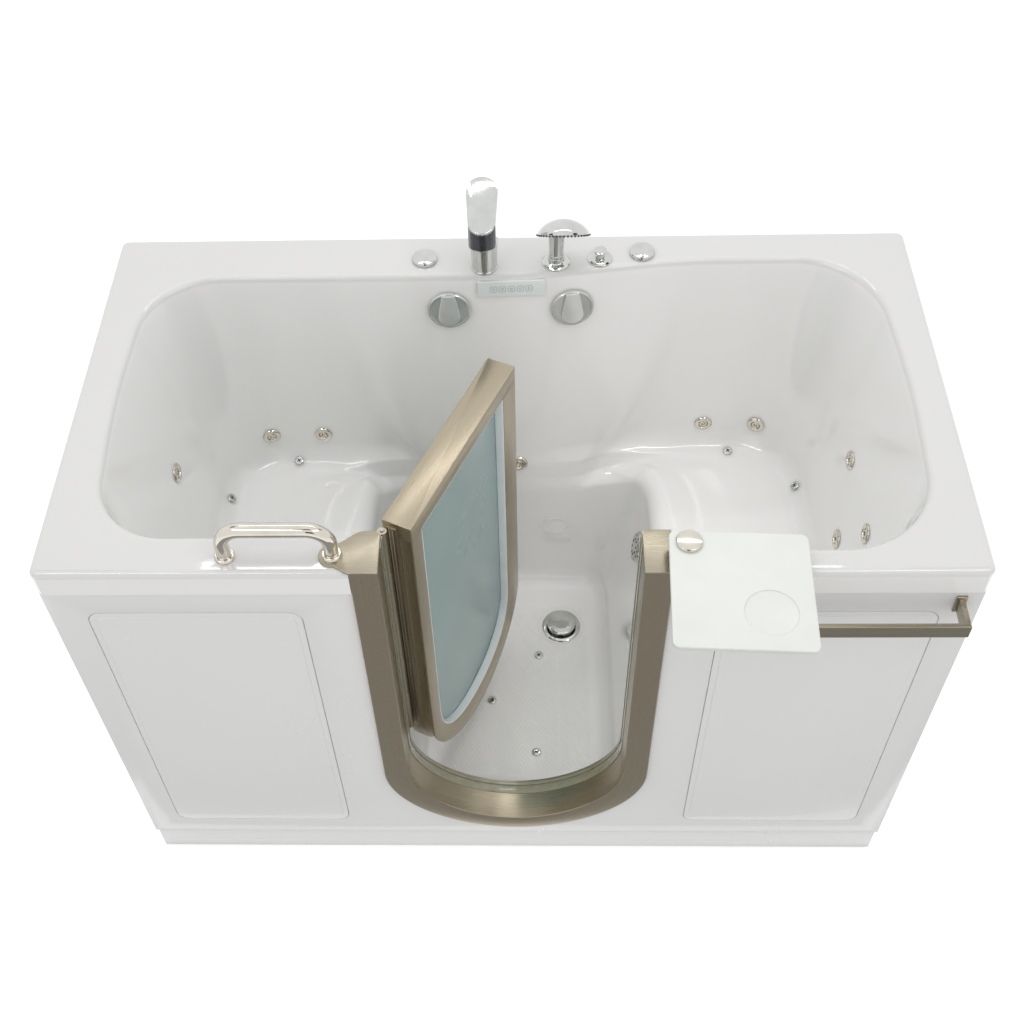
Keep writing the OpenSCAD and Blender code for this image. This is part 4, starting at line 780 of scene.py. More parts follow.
def glassBow(grow):
    x0, x1 = doorX[0] + door["glassLeft"], doorX[1] - door["glassRight"]
    return bow((x0 + x1) / 2, (x1 - x0) / 2 + grow, door["glassDrop"] + grow, barZ + grow, door["glassTurn"],
               door["glassPower"])


# Holes for all that is set into the shell
def shellHoles():
    form = Form()
    bores = [(r + 1, spot(x, y, deck), 30, 32) for x, y, r in fittings["deckHoles"]]
    bores += [(25, place, 20, 48) for place in drainPlaces]
    bores += [(6.5, place, 20, 32) for place in wellAirPlaces + seatAirPlaces]
    bores += [(13.5, place, 30, 32) for place in jetPlaces]
    bores += [(17, place, 30, 32) for place in dialPlaces]
    for radius, place, reach, steps in bores + [(25, suctionPlace, 30, 48)]:
        form.rod(radius, -reach, reach, place, steps)
    return form


def makeShell():
    rim = rimOutline(shell["corners"], shell["bow"])
    form = Form().skin(deckRings() + basinRings(rim), ends=False)
    last = len(form.points) - len(rim)
    form.points.append(Vector((*shell["middle"], well)))
    form.faces += [(last + j, last + (j + 1) % len(rim), len(form.points) - 1) for j in range(len(rim))]
    obj = objectOf("basinShell", meshOf("basinShell", form))
    if obj.data.polygons[0].normal.x * obj.data.polygons[0].center.x < 0:
        obj.data.flip_normals()
    wall = obj.modifiers.new("wall", "SOLIDIFY")
    wall.thickness, wall.offset = shell["wall"] * mm, -1
    applied(obj)
    tidied(obj.data)
    carved(obj, Form().wallPlate(frameBow(0.8, deck + 40), -halfDepth - 20, frameY[1] + 3, 0, steps=1))
    carved(obj, Form().wallPlate(doorBow(5, deck + 40), frameY[1] - 1, doorY[1] + 1.5, 0, steps=1))
    fit(carved(obj, shellHoles()), "tub_shell", angle=38)
    print("shell made:", len(obj.data.polygons), "faces")


makeShell()

panel = {"left": (-697, -340), "right": (350, 701), "z": (136, 900), "corner": 24, "thick": 3.7,
         "field": 11, "raise": 1.2}
apronY = -halfDepth + 5


def makePanel(name, span, node):
    def outline(grow):
        return roundRect(span[0] - grow, panel["z"][0] - grow, span[1] + grow, panel["z"][1] + grow,
                         panel["corner"] + grow)
    form = Form().wallPlate(outline(0), apronY, apronY + panel["thick"], 0.8)
    form.wallPlate(outline(-panel["field"]), apronY - panel["raise"], apronY + 1, 0.9)
    fitForm(name, form, node, surfaces["skirt"])


makePanel("leftPanel", panel["left"], "left_access_panel")
makePanel("rightPanel", panel["right"], "right_access_panel")
for name, node, width in (("frontSkirt", "front_apron", 0.8), ("leftSkirt", "left_end_panel", 1.5),
                          ("rightSkirt", "right_end_panel", 1.5), ("kickBoard", "plinth", 1.5)):
    softened(name, node, width, surfaces["skirt"])
print("skirts made")

# Stands a band that is drawn lying: its Y becomes Z, and its Z becomes Y
upended = Matrix(((1, 0, 0, 0), (0, 0, 1, 0), (0, 1, 0, 0), (0, 0, 0, 1)))


# The brushing runs along the band: up one side, round the bottom and down the other, or across a bar on top
def bandGrain(mesh, middle, bottomZ, barZ=math.inf):
    layer = mesh.uv_layers.new(name="brushing")
    radius = 0.23
    for loop in mesh.loops:
        p = mesh.vertices[loop.vertex_index].co
        x, z = p.x - middle * mm, p.z - bottomZ * mm
        if p.z > barZ * mm:
            along, across = p.x, p.z
        elif z > 0:
            along, across = (z if x > 0 else -math.pi * radius - z), abs(x)
        else:
            turn = math.atan2(z, x)
            along, across = radius * (turn if turn <= 0 else turn - 2 * math.pi), math.hypot(x, z)
        layer.data[loop.index].uv = (along, across + p.y)


def makeFrame():
    mesh = meshOf("doorFrame", Form().band(frameBow(0), throatBow(0), boxSection(*frameY, 2.2), upended))
    bandGrain(mesh, door["middle"], 350)
    fit(objectOf("doorFrame", mesh), "door_frame", surfaces["band"])
    seal = Form()
    for depth, y0, y1, radius in ((2.4, 12, 5, 0.9), (1.2, 30, 13, 0.5)):
        seal.band(throatBow(-0.05, deck - 3), throatBow(-depth, deck - 3),
                  boxSection(frameY[1] - y0, frameY[1] - y1, radius), upended)
    fitForm("sillSeal", seal, "frame_seal")


grabBar = {"feet": ((-449, -370), (-277, -370)), "radius": 12.2, "rise": 69, "bend": 36}


# The left cap sweeps out under the grab bar's right foot
def makeCaps():
    low, thick, r = deck + 0.3, 4.2, 12
    x0, x1 = door["middle"] - door["half"] - 0.5, door["middle"] - throatHalf
    foot, front, back = grabBar["feet"][1], frameY[0] - 1, frameY[1]
    sweep = [(t, float(smooth(t))) for t in np.linspace(0, 1, 17)]
    outline = [(mix(foot[0], x0 + 3, t), mix(foot[1] - 21.9, front, s)) for t, s in sweep]
    outline += [(x1, front)] + arc(x1 - r, back - r, r, 0, 90, 10)
    outline += [(mix(x0 + 20, foot[0], t), mix(back, foot[1] + 21.9, s)) for t, s in sweep]
    outline += arc(*foot, 22, 90, 270, 24)[1:-1]
    fitForm("leftCap", Form().plate(outline, low, low + thick, 1.1), "left_post_cap")
    x0, x1, r = door["middle"] + throatHalf, door["middle"] + door["half"] + 0.5, 11
    outline = [(x0, front), (x1, front), (x1, back)] + arc(x0 + r, back - r, r, 90, 180, 10)
    outline = rounded(outline, 1.5, 4, closed=True)
    fitForm("rightCap", Form().plate(outline, low, low + thick, 1.1), "right_post_cap")


hinge = {"knuckles": (370, 500, 630, 760, 890, 1004), "radius": 8.5, "pin": 3.5, "gap": 0.25}
channel = {"y": (doorY[0] + 5, doorY[0] + 28), "deep": 7}

makeFrame()
makeCaps()
print("door frame made")


# Knuckles with the arms that carry them
def knuckles(form, places, arm, edge, place):
    r, hole = hinge["radius"], hinge["pin"] + 0.05
    for i in places:
        low, high = hinge["knuckles"][i] + hinge["gap"], hinge["knuckles"][i + 1] - hinge["gap"]
        barrel = rounded([(hole, low), (r, low), (r, high), (hole, high), (hole, low)], 0.8, 3)
        form.lathe(barrel, place, 40)
        form.plate(roundRect(*arm, edge, 3), low, high, 0.5, place)


def makeHinge():
    hx, hy = door["hinge"]
    back = frameY[1] + 0.1 - hy
    low, high = hinge["knuckles"][0], hinge["knuckles"][-1]
    post = Form()
    knuckles(post, (0, 2, 4), (-14, back, -5, back + 8), 1, hingePlace)
    x0 = door["middle"] - door["half"] + 3
    post.plate(roundRect(x0, frameY[1] + 0.1, hx - 10, frameY[1] + 3.5, 0.6, 3), low, high, 0.5)
    fitForm("hingePost", post, "hinge_post_leaf")
    leaf = Form()
    knuckles(leaf, (1, 3), (5, -1, doorX[0] - 0.1 - hx, 6), 0.8, doorPlace @ hingePlace)
    x0, x1 = doorX[0] - 3.1, doorX[0] - 0.1
    y0, y1 = channel["y"][1] + 1, doorY[1] - 4
    grooved = [(x1, y0), (x1, y1), (x0, y1)]
    for y in (y0 + 11, y0 + 5):
        grooved += [(x0, y + 1.8)] + arc(x0, y, 1.6, 90, -90, 8) + [(x0, y - 1.8)]
    leaf.plate(grooved + [(x0, y0)], low + 4, high, 0.3, doorPlace, 2)
    fitForm("hingeLeaf", leaf, "hinge_door_leaf")


def doorSection(wide):
    y0, y1 = doorY
    c0, c1 = channel["y"]
    deep = channel["deep"]
    return rounded([(0, y0), (wide, y0), (wide, y1), (0, y1), (0, c1), (deep, c1), (deep, c0), (0, c0)],
                   1.3, 2, closed=True)


def makeDoor():
    form = Form().band(doorBow(0, barZ), glassBow(0), doorSection, upended)
    form.plate(roundRect(doorX[0], doorY[0], doorX[1], doorY[1], 1.5, 3), barZ, deck, 1.5)
    mesh = meshOf("doorPanel", form)
    bandGrain(mesh, sum(doorX) / 2, 380, barZ)
    placed(mesh, doorPlace)
    fit(objectOf("doorPanel", mesh), "door_panel", surfaces["band"])
    glassY = doorY[0] + 17
    glass = Form().wallPlate(glassBow(-0.3), glassY, glassY + 6, 0.5, doorPlace)
    fitForm("doorGlass", glass, "door_glass")
    gaskets = Form()
    right, left = glassBow(0)[0][0] - 3, glassBow(0)[-1][0] + 3
    for y0, y1 in ((doorY[0] + 1, glassY - 0.1), (glassY + 6.1, doorY[1] - 1)):
        gaskets.band(glassBow(-0.1), glassBow(-3), boxSection(y0, y1, 0.8), doorPlace @ upended)
        gaskets.plate(roundRect(left, y0, right, y1, 0.8, 3), barZ - 3, barZ - 0.1, 0.6, doorPlace)
    fitForm("glassGaskets", gaskets, "glazing_gaskets")


makeHinge()
makeDoor()
print("door made")

towelRail = {"x": (323, 729), "y": -457, "z": (912, 941), "strip": 8, "end": 9}
tray = {"middle": (358, -459), "side": 216, "corner": 12, "z": deck + 26, "thick": 9, "turn": -2.5,
        "pivot": (285, -371), "cup": (397, -502, 41)}


def makeGrabBar():
    (x0, y), (x1, _) = grabBar["feet"]
    r, bend, top = grabBar["radius"], grabBar["bend"], deck + grabBar["rise"]
    path = [(x0, z) for z in np.linspace(deck + 5, top - bend, 4, endpoint=False)]
    path += arc(x0 + bend, top - bend, bend, 180, 90, 18)
    path += [(x, top) for x in np.linspace(x0 + bend, x1 - bend, 6)[1:-1]]
    path += arc(x1 - bend, top - bend, bend, 90, 0, 18)
    path += [(x1, z) for z in np.linspace(top - bend, deck + 5, 5)[1:]]
    fitForm("grabRail", Form().tube([(x, y, z) for x, z in path], r, 48), "grab_bar")
    collars, hole, foot = Form(), r + 0.05, deck + 4.95
    for at, base in zip(grabBar["feet"], (deck + 0.3, deck + 4.6)):
        profile = [(0, base), (16.5, base), (16.5, base + 3), (15, base + 6), (14, base + 6.5),
                   (hole, base + 6.5), (hole, foot), (0, foot)]
        collars.lathe(rounded(profile, 0.7, 3), spot(*at, 0), 56)
        collars.rod(4, deck - 22, base, spot(*at, 0), 20)
    fitForm("grabCollars", collars, "grab_bar_collars")


def makeTowelRail():
    x0, x1 = towelRail["x"]
    y0, y1, wide = towelRail["y"], apronY - 4.2, towelRail["end"]
    strip = y0 + towelRail["strip"]
    outer = [(x0, y1), (x0, y0), (x1, y0), (x1, y1)]
    inner = [(x0 + wide, y1), (x0 + wide, strip), (x1 - wide, strip), (x1 - wide, y1)]
    fitForm("towelRail", Form().band(outer, inner, boxSection(*towelRail["z"], 1.0)), "towel_bar")
    softened("towelPlates", "towel_bar_plates", 1.0)


def makeTray():
    half, low = tray["side"] / 2, tray["z"]
    top = low + tray["thick"]
    slab = Form().plate(roundRect(-half, -half, half, half, tray["corner"], 14), low, top, 2.2,
                        spot(*tray["middle"], 0, turnZ=tray["turn"]), 5)
    x, y, r = tray["cup"]
    cup = [(0, top - 2), (r - 2.4, top - 2), (r - 1, top - 1.6), (r, top - 0.4), (r + 0.6, top + 1),
           (0, top + 1)]
    cuts = Form().lathe(cup, spot(x, y, 0), 96)
    at = spot(*tray["pivot"], 0)
    cuts.rod(6.05, low - 1, top + 1, at, 40)
    fit(carved(objectOf("trayPlate", meshOf("trayPlate", slab)), cuts), "tray_plate", angle=28)
    post = Form().lathe(rounded([(0, deck + 0.3), (19, deck + 0.3), (19, deck + 4.3), (11, deck + 4.3),
                                 (11, deck + 25.7), (0, deck + 25.7)], 0.8, 3), at)
    post.rod(6, deck - 24, top - 0.1, at, 32)
    fitForm("trayPost", post, "tray_pivot")
    knob = [(0, top + 0.1), (21, top + 0.1), (21, top + 5.2), (19.5, top + 7.2), (0, top + 8.6)]
    fitForm("trayKnob", Form().lathe(rounded(knob, 1.4, 5), at, 80), "tray_knob")


makeGrabBar()
makeTowelRail()
makeTray()
print("rails and tray made")

taps = {"left_handle": (-161, 336), "right_handle": (256, 348)}
spout = {"at": (-46, 324), "rear": 29.5, "front": 25.5, "reach": 64, "column": 24.5, "flare": 29, "soft": 2.2,
         "top": (1164, 1200), "foot": 1085, "footStep": (20, 22), "chin": (1110, 1120), "chinStart": -42}
handset = {"at": (91, 326), "head": (103, 306, deck + 94), "tilt": 144}
diverter = {"at": (175, 334)}


def makeTaps():
    for node, place in taps.items():
        at = spot(*place, deck)
        cap = [(0, 5.2), (20, 5.2), (20, 0.8), (24, 0.8), (24, 7), (22.5, 9.5), (16, 11), (0, 11.5)]
        form = Form().lathe(rounded(cap, 1.2, 5), at, 80)
        form.rod(5, -25, 6, at, 24)
        form.plate(roundRect(-2, -22, 2, -10, 1.9, 6), 8.6, 13, 1.2, at)
        fitForm(node.replace("_handle", "Tap"), form, node)


# The body hangs over the basin between a sloping top and a curved foot; the visor lies in its front
def makeSpout():
    rear, front, reach, soft = (spout[k] for k in ("rear", "front", "reach", "soft"))
    nose = -reach - front
    at = spot(*spout["at"], 0)
    plan = arc(0, 0, rear, -2, 182, 48) + arc(0, -reach, front, 184, 356, 48)

    def topAt(y):
        return mix(*spout["top"], (y - nose) / (rear - nose))

    def footAt(y):
        chin = mix(*spout["chin"], max(0, (spout["chinStart"] - y) / (spout["chinStart"] - nose)))
        return mix(spout["foot"], chin, float(smooth(-y, *spout["footStep"])))
    turns = [math.pi / 2 * i / 4 for i in range(5)]
    edges = [(soft * (1 - math.sin(a)), 0, soft * (1 - math.cos(a))) for a in turns]
    edges += [(0, t, 0) for t in (0.25, 0.5, 0.75)]
    edges += [(soft * (1 - math.cos(a)), 1, -soft * (1 - math.sin(a))) for a in turns]
    form = Form().skin([[(x, y, mix(footAt(y), topAt(y), share) + lift) for x, y in inset(plan, insetBy)]
                        for insetBy, share, lift in edges], at)
    r, flare = spout["column"], spout["flare"]
    column = [(0, 0.3), (r + 1.5, 0.3), (r + 1.5, 2.6), (r, 3.4), (mix(r, flare, 0.3), 40), (flare, 84),
              (flare - 1, 90.3), (0, 90.3)]
    oval = at @ Matrix.Translation((0, -4, deck)) @ Matrix.Diagonal((1, 1.14, 1, 1))
    form.lathe(rounded(column, 0.8, 3), oval, 96)
    form.rod(12, deck - 44, deck + 0.5, at, 32)
    fitForm("spout", form, "spout", angle=40)
    bands = []
    for turn in np.radians(np.linspace(192, 348, 48)):
        c, s = math.cos(turn), math.sin(turn)
        y = -reach + front * s
        low, high = footAt(y) + 3.5, topAt(y) - 5
        bands.append([((front + out) * c, -reach + (front + out) * s, z)
                      for out, z in ((0.4, low), (0.4, high), (-0.6, high), (-0.6, low))])
    fitForm("spoutVisor", Form().skin(bands, at), "spout", surfaces["visor"], takesOver=False)


def makeHandShower():
    at = spot(*handset["at"], deck)
    holder = [(9.05, -50), (13, -50), (13, 0.3), (27, 0.3), (27, 2.3), (24, 5.3), (18, 6.8), (16, 8.3),
              (15.5, 17.3), (9.05, 17.3), (9.05, -50)]
    fitForm("showerHolder", Form().lathe(rounded(holder, 0.9, 4), at, 80), "shower_holder")
    handle = [(0, -20), (9, -20), (9, 17.6), (14, 17.6), (14.4, 22), (13.6, 24), (16, 82.4), (0, 82.4)]
    form = Form().lathe(rounded(handle, 0.9, 4), at, 64)
    dome = [(49.6 * math.sin(a), 5.4 - 28 * math.cos(a) ** 1.4) for a in np.radians(np.linspace(0, 88, 16))]
    form.lathe(dome + [(50, 5.8), (48.6, 7.6), (45.5, 8.4), (43, 7.6), (0, 7.6)],
               spot(*handset["head"], turnX=handset["tilt"]), 96)
    fitForm("handShower", form, "hand_shower")


def makeDiverter():
    at = spot(*diverter["at"], deck)
    base = [(5.05, -60), (11, -60), (11, 0.3), (24, 0.3), (24, 2.3), (20, 4.8), (13, 6.3), (5.05, 6.3),
            (5.05, -60)]
    fitForm("diverterBase", Form().lathe(rounded(base, 0.9, 4), at, 80), "diverter_valve")
    knob = [(0, 6.8), (9, 6.8), (8.4, 11), (9.4, 15), (12.6, 18.5), (13, 21), (11.5, 22.6), (0, 23.2)]
    form = Form().lathe(rounded(knob, 0.9, 4), at, 64)
    fitForm("diverterKnob", form.rod(5, -30, 8, at, 24), "diverter_knob")


makeTaps()
makeSpout()
makeHandShower()
makeDiverter()
print("deck fittings made")


# A node tree with one named input for each size; what it grows is realised and given its finish
class Grower:
    def __init__(self, name, sizes, surface):
        self.tree = bpy.data.node_groups.new(name, "GeometryNodeTree")
        self.surface, self.keys = surface, {}
        face = self.tree.interface
        face.new_socket("Base", in_out="INPUT", socket_type="NodeSocketGeometry")
        face.new_socket("Grown", in_out="OUTPUT", socket_type="NodeSocketGeometry")
        for label, value in sizes.items():
            kind = "NodeSocketInt" if isinstance(value, int) else "NodeSocketFloat"
            socket = face.new_socket(label, in_out="INPUT", socket_type=kind)
            socket.default_value = value
            self.keys[label] = socket.identifier
        entry = self.tree.nodes.new("NodeGroupInput")
        self.base = entry.outputs["Base"]
        self.size = {label: entry.outputs[label] for label in sizes}

    def math(self, operation, *numbers):
        return mathOf(self.tree, operation, *numbers)

    def vector(self, **axes):
        return nodeOf(self.tree, "ShaderNodeCombineXYZ", axes).outputs[0]

    def turn(self, **axes):
        return nodeOf(self.tree, "FunctionNodeEulerToRotation", {0: self.vector(**axes)}).outputs[0]

    def geo(self, kind, inputs, output=0, **settings):
        return nodeOf(self.tree, "GeometryNode" + kind, inputs, **settings).outputs[output]

    def finish(self, instances):
        real = self.geo("RealizeInstances", {0: self.geo("InstanceOnPoints", instances)})
        done = self.geo("SetMaterial", {"Geometry": real, "Material": self.surface})
        nodeOf(self.tree, "NodeGroupOutput", {"Grown": done})
        return self

    def grow(self, name, place, base=None, **sizes):
        obj = objectOf(name, meshOf(name, base or Form()))
        nodes = obj.modifiers.new("grow", "NODES")
        nodes.node_group = self.tree
        for label, value in sizes.items():
            nodes[self.keys[label]] = value
        applied(obj)
        placed(obj.data, place)
        return obj


treads = {
    "pitch": 8.0, "radius": 2.2, "rise": 0.7, "tilt": math.radians(-59), "reach": 700,
    "fields": [(-36, -60, 134, 212, 7.0), (134, -60, 33, 206, 5.4)],  # middle X and Y, half sizes, spacing
    "plain": {"drains": 60, "wellAir": 19},  # radius that stays plain round each fitting
}


# Low ribs on a slant, kept inside a rounded field and off the plain discs of the base mesh
def treadGrower():
    sizes = {"Spacing": 7.0 * mm, "Pitch": treads["pitch"] * mm, "Radius": treads["radius"] * mm,
             "Rise": treads["rise"] * mm, "Tilt": treads["tilt"], "Reach": treads["reach"] * mm,
             "MiddleX": 0.0, "MiddleY": 0.0, "HalfX": 0.1, "HalfY": 0.1}
    g = Grower("treadRibs", sizes, surfaces["acrylic"])
    size = g.size

    def count(gap):
        return g.math("ADD", g.math("ROUND", g.math("DIVIDE", size["Reach"], size[gap])), 1.0)
    grid = g.geo("MeshGrid", {"Size X": size["Reach"], "Size Y": size["Reach"], "Vertices X": count("Pitch"),
                              "Vertices Y": count("Spacing")})
    tilt = g.turn(Z=size["Tilt"])
    shift = g.vector(X=size["MiddleX"], Y=size["MiddleY"])
    spread = g.geo("Transform", {"Geometry": grid, "Translation": shift, "Rotation": tilt})
    here = nodeOf(g.tree, "ShaderNodeSeparateXYZ", {0: g.geo("InputPosition", {})}).outputs
    parts = []
    for axis in "XY":
        off = g.math("ABSOLUTE", g.math("SUBTRACT", here[axis], size["Middle" + axis]))
        parts.append(g.math("POWER", g.math("DIVIDE", off, size["Half" + axis]), 9.0))
    outside = g.math("GREATER_THAN", g.math("ADD", *parts), 1.0)
    near = g.geo("Proximity", {0: g.base}, "Distance", target_element="FACES")
    spare = g.math("MAXIMUM", outside, g.math("LESS_THAN", near, 0.0006))
    kept = g.geo("DeleteGeometry", {"Geometry": spread, "Selection": spare}, domain="POINT")
    rod = g.geo("MeshCylinder", {"Vertices": 10, "Radius": size["Radius"],
                                 "Depth": g.math("MULTIPLY", size["Pitch"], 1.04)})
    sunk = g.vector(Z=g.math("SUBTRACT", size["Rise"], size["Radius"]))
    laid = g.geo("Transform", {"Geometry": rod, "Translation": sunk, "Rotation": g.turn(Y=math.pi / 2)})
    return g.finish({"Points": kept, "Instance": laid, "Rotation": tilt})


def makeTreads():
    grower, discs = treadGrower(), Form()
    for fitting, radius in treads["plain"].items():
        for x, y in fittings[fitting]:
            discs.add([(a, b, 0) for a, b in arc(x, y, radius, 0, 352.5, 47)], [tuple(range(48))])
    work = bmesh.new()
    for x, y, halfX, halfY, spacing in treads["fields"]:
        field = grower.grow("treadField", spot(0, 0, well), discs, Spacing=spacing * mm, MiddleX=x * mm,
                            MiddleY=y * mm, HalfX=halfX * mm, HalfY=halfY * mm)
        work.from_mesh(field.data)
        bpy.data.objects.remove(field)
    mesh = bpy.data.meshes.new("footwellTreads")
    work.to_mesh(mesh)
    work.free()
    fit(objectOf("footwellTreads", mesh), "tub_shell", takesOver=False, angle=50)


# Beads round a circle, each turned to face out
def beadGrower():
    g = Grower("nozzleBeads", {"Count": 44, "Radius": 48.6 * mm, "Bead": 2.5 * mm}, surfaces["visor"])
    circle = g.geo("MeshCircle", {"Vertices": g.size["Count"], "Radius": g.size["Radius"]})
    step = g.math("DIVIDE", 2 * math.pi, g.size["Count"])
    angle = g.math("MULTIPLY", g.geo("InputIndex", {}), step)
    bead = g.geo("MeshIcoSphere", {"Radius": g.size["Bead"], "Subdivisions": 2})
    return g.finish({"Points": circle, "Instance": bead, "Rotation": g.turn(Z=angle)})


def makeBeads():
    head = spot(*handset["head"], turnX=handset["tilt"])
    beads = beadGrower().grow("nozzleRing", head @ spot(0, 0, 7.4))
    fit(beads, "hand_shower", surfaces["visor"], takesOver=False)


# Key outlines in a row: a rounded square line with a small ring inside it
def keyGrower():
    sizes = {"Count": 5, "Pitch": 0.017, "Key": 0.0125, "Corner": 0.002, "Line": 0.0004}
    g = Grower("panelKeys", sizes, surfaces["ink"])
    size = g.size
    square = g.geo("CurvePrimitiveQuadrilateral", {"Width": size["Key"], "Height": size["Key"]})
    soft = g.geo("FilletCurve", {"Curve": square, "Radius": size["Corner"]})
    line = g.geo("CurvePrimitiveCircle", {"Resolution": 6, "Radius": size["Line"]})
    ring = g.geo("CurvePrimitiveCircle", {"Resolution": 20, "Radius": g.math("MULTIPLY", size["Key"], 0.16)})
    both = nodeOf(g.tree, "GeometryNodeJoinGeometry", {})
    for path in (soft, ring):
        g.tree.links.new(g.geo("CurveToMesh", {"Curve": path, "Profile Curve": line}), both.inputs[0])
    steps = g.math("SUBTRACT", size["Count"], 1.0)
    start = g.math("MULTIPLY", g.math("MULTIPLY", steps, size["Pitch"]), -0.5)
    row = g.geo("MeshLine", {"Count": size["Count"], "Start Location": g.vector(X=start),
                             "Offset": g.vector(X=size["Pitch"])})
    return g.finish({"Points": row, "Instance": both.outputs[0]})


makeTreads()
makeBeads()
print("treads and beads grown")

strip = {"x": 5, "z": 987, "width": 130, "height": 36, "thick": 4, "corner": 2, "turn": 0.6}
dial = {"radius": 42, "plate": 30, "shank": 16, "spindle": 5}
drain = {"bore": 20, "cap": 33.5, "lift": 13.1}
jet = {"radius": 19, "shank": 13, "tail": 28, "nut": 19}
# Raised circles in the moulding: X, Y, Z, radius, width, and turn about X
halos = [(110, 100, well, 53, 4, 0), (95, 237.6, 306, 28, 3.5, 92)]
halos += [(x, y, well, 13, 3, 0) for x, y in fittings["wellAir"]]


def makeStrip():
    x, z = strip["x"], strip["z"]
    yaw = yawOf(lambda at: backWallY(at, z), x) + strip["turn"]
    place = spot(x, backWallY(x, z) - 0.5, z, turnZ=yaw) @ spot(0, 0, 0, turnX=90 - tongueTilt)
    w, h = strip["width"] / 2, strip["height"] / 2
    plate = Form().plate(roundRect(-w, -h, w, h, strip["corner"]), 0, strip["thick"], 0.9, place, 4)
    fitForm("controlStrip", plate, "control_panel")
    keys = keyGrower().grow("stripKeys", place @ spot(0, 0, strip["thick"] + 0.02))
    fit(keys, "control_panel", surfaces["ink"], takesOver=False)


def makeDials():
    r, shank, plate, spindle = dial["radius"], dial["shank"], dial["plate"], dial["spindle"]
    hole = spindle + 0.05
    face = rounded([(0, 3.8), (r, 3.8), (r, 6.4), (39.5, 9.6), (37, 9.4), (35.5, 7), (0, 6.6)], 0.9, 4)
    wing = [(-13, 37.5), (13, 37.5), (21.5, -12)] + arc(0, -12, 21.5, -3, -177, 28) + [(-21.5, -12)]
    body = [(hole, -46), (shank, -46), (shank, -13.5), (24, -13.5), (24, -6.5), (shank, -6.5), (shank, 0.4),
            (plate, 0.4), (plate, 3.4), (hole, 3.4), (hole, -46)]
    bodies = Form()
    for node, place in zip(("left_drain_dial", "right_drain_dial"), dialPlaces):
        piece = node.replace("_drain_dial", "Dial")
        form = Form().lathe(face, place, 96)
        fitForm(piece, form.rod(spindle, -26, 8, place, 32), node, surfaces["dialFace"], angle=30)
        grip = Form().plate(rounded(wing, 1.6, 4, closed=True), 6.4, 12.6, 1.2, place, 4)
        fitForm(piece + "Grip", grip, node, surfaces["satin"], takesOver=False)
        bodies.lathe(rounded(body, 0.5, 2), place, 56)
        bodies.rod(14, 0, 33, place @ spot(0, 0, -32, turnX=90 - tongueTilt), 40)
    fitForm("dialBodies", bodies, "dial_bodies")


def makeDrains():
    bore = drain["bore"]
    wall = [(bore, -62), (24, -62), (24, 0.2), (44, 0.2), (44, 1.4), (41, 2.9), (37, 3.8), (33.5, 3.6),
            (31.5, 2.4), (24, -6), (bore, -8), (bore, -62)]
    hub = [(4.05, -24), (8, -24), (8, -18), (4.05, -18), (4.05, -24)]
    # A dark lining in each drain's bore is painted shade for the gap under the plug
    boreShadeLining = [(20.6, -6.9), (24.2, -5), (31.6, 2.9), (33.6, 4.1), (31.2, 3.5), (23.8, -4.6), (20.6, -6.4),
              (20.6, -6.9)]
    bodies, boreShades = Form(), Form()
    for at in drainPlaces:
        bodies.lathe(rounded(wall, 0.5, 3), at, 96)
        bodies.lathe(rounded(hub, 0.5, 2), at, 40)
        for turn in (0, 180):
            bodies.plate(roundRect(7.5, -2.5, 22, 2.5, 1, 3), -24, -18, 0.5, at @ spot(0, 0, 0, turnZ=turn))
        boreShades.lathe(boreShadeLining, at, 72)
    fitForm("drainBodies", bodies, "drain_bodies")
    fitForm("drainBoreShades", boreShades, "drain_bodies", surfaces["visor"], takesOver=False)


def makeHalos():
    low, high = -0.6, 0.9
    rings = Form()
    for x, y, z, radius, wide, turn in halos:
        inner, outer = radius - wide / 2, radius + wide / 2
        ring = [(inner, low), (outer, low), (outer, 0), (radius, high), (inner, 0), (inner, low)]
        rings.lathe(rounded(ring, 0.6, 3), spot(x, y, z, turnX=turn), 72)
    fitForm("mouldedHalos", rings, "tub_shell", takesOver=False)


def makePlugs():
    r, low = drain["cap"], drain["lift"]
    cap = [(0, low), (31.5, low), (32.5, low + 0.4), (r, low + 2), (32.4, low + 3.8), (29, low + 5.4),
           (19, low + 6.6), (8, low + 7), (0, low + 7)]
    for node, at in zip(("left_drain_plug", "right_drain_plug"), drainPlaces):
        plug = Form().lathe(rounded(cap, 1.2, 4), at, 96)
        fitForm(node.replace("_drain_plug", "Plug"), plug.rod(4, -32, low + 1, at, 24), node)


def makeJets():
    r, shank, tail, nut = jet["radius"], jet["shank"], jet["tail"], jet["nut"]
    wall = [(9, 8 - tail), (0, 8 - tail), (0, -tail), (shank, -tail), (shank, -15), (nut, -15), (nut, -7),
            (shank, -7), (shank, 0.8), (r, 0.8), (r, 2.3), (17.6, 3.9), (15.4, 4.7), (12, 4.9), (10.4, 4.3),
            (9.3, 2.4), (9, 8 - tail)]
    eye = [(4, -2.9), (8.9, -2.9), (8.9, 2.4), (7, 3.7), (5, 4), (4, 3.4), (4, -2.9)]
    nozzle = [(0, -2.5), (3.9, -2.5), (3.9, -0.4), (2.6, -0.4), (1.8, 0.6), (0, 0.9)]
    form, nozzles = Form(), Form()
    for place in jetPlaces:
        form.lathe(rounded(wall, 0.5, 3), place, 56)
        form.lathe(rounded(eye, 0.6, 3), place, 40)
        nozzles.lathe(nozzle, place, 28)
    fitForm("waterJets", form, "water_jets", surfaces["polished_nickel"])
    fitForm("jetNozzles", nozzles, "water_jets", surfaces["polished_nickel"], takesOver=False)


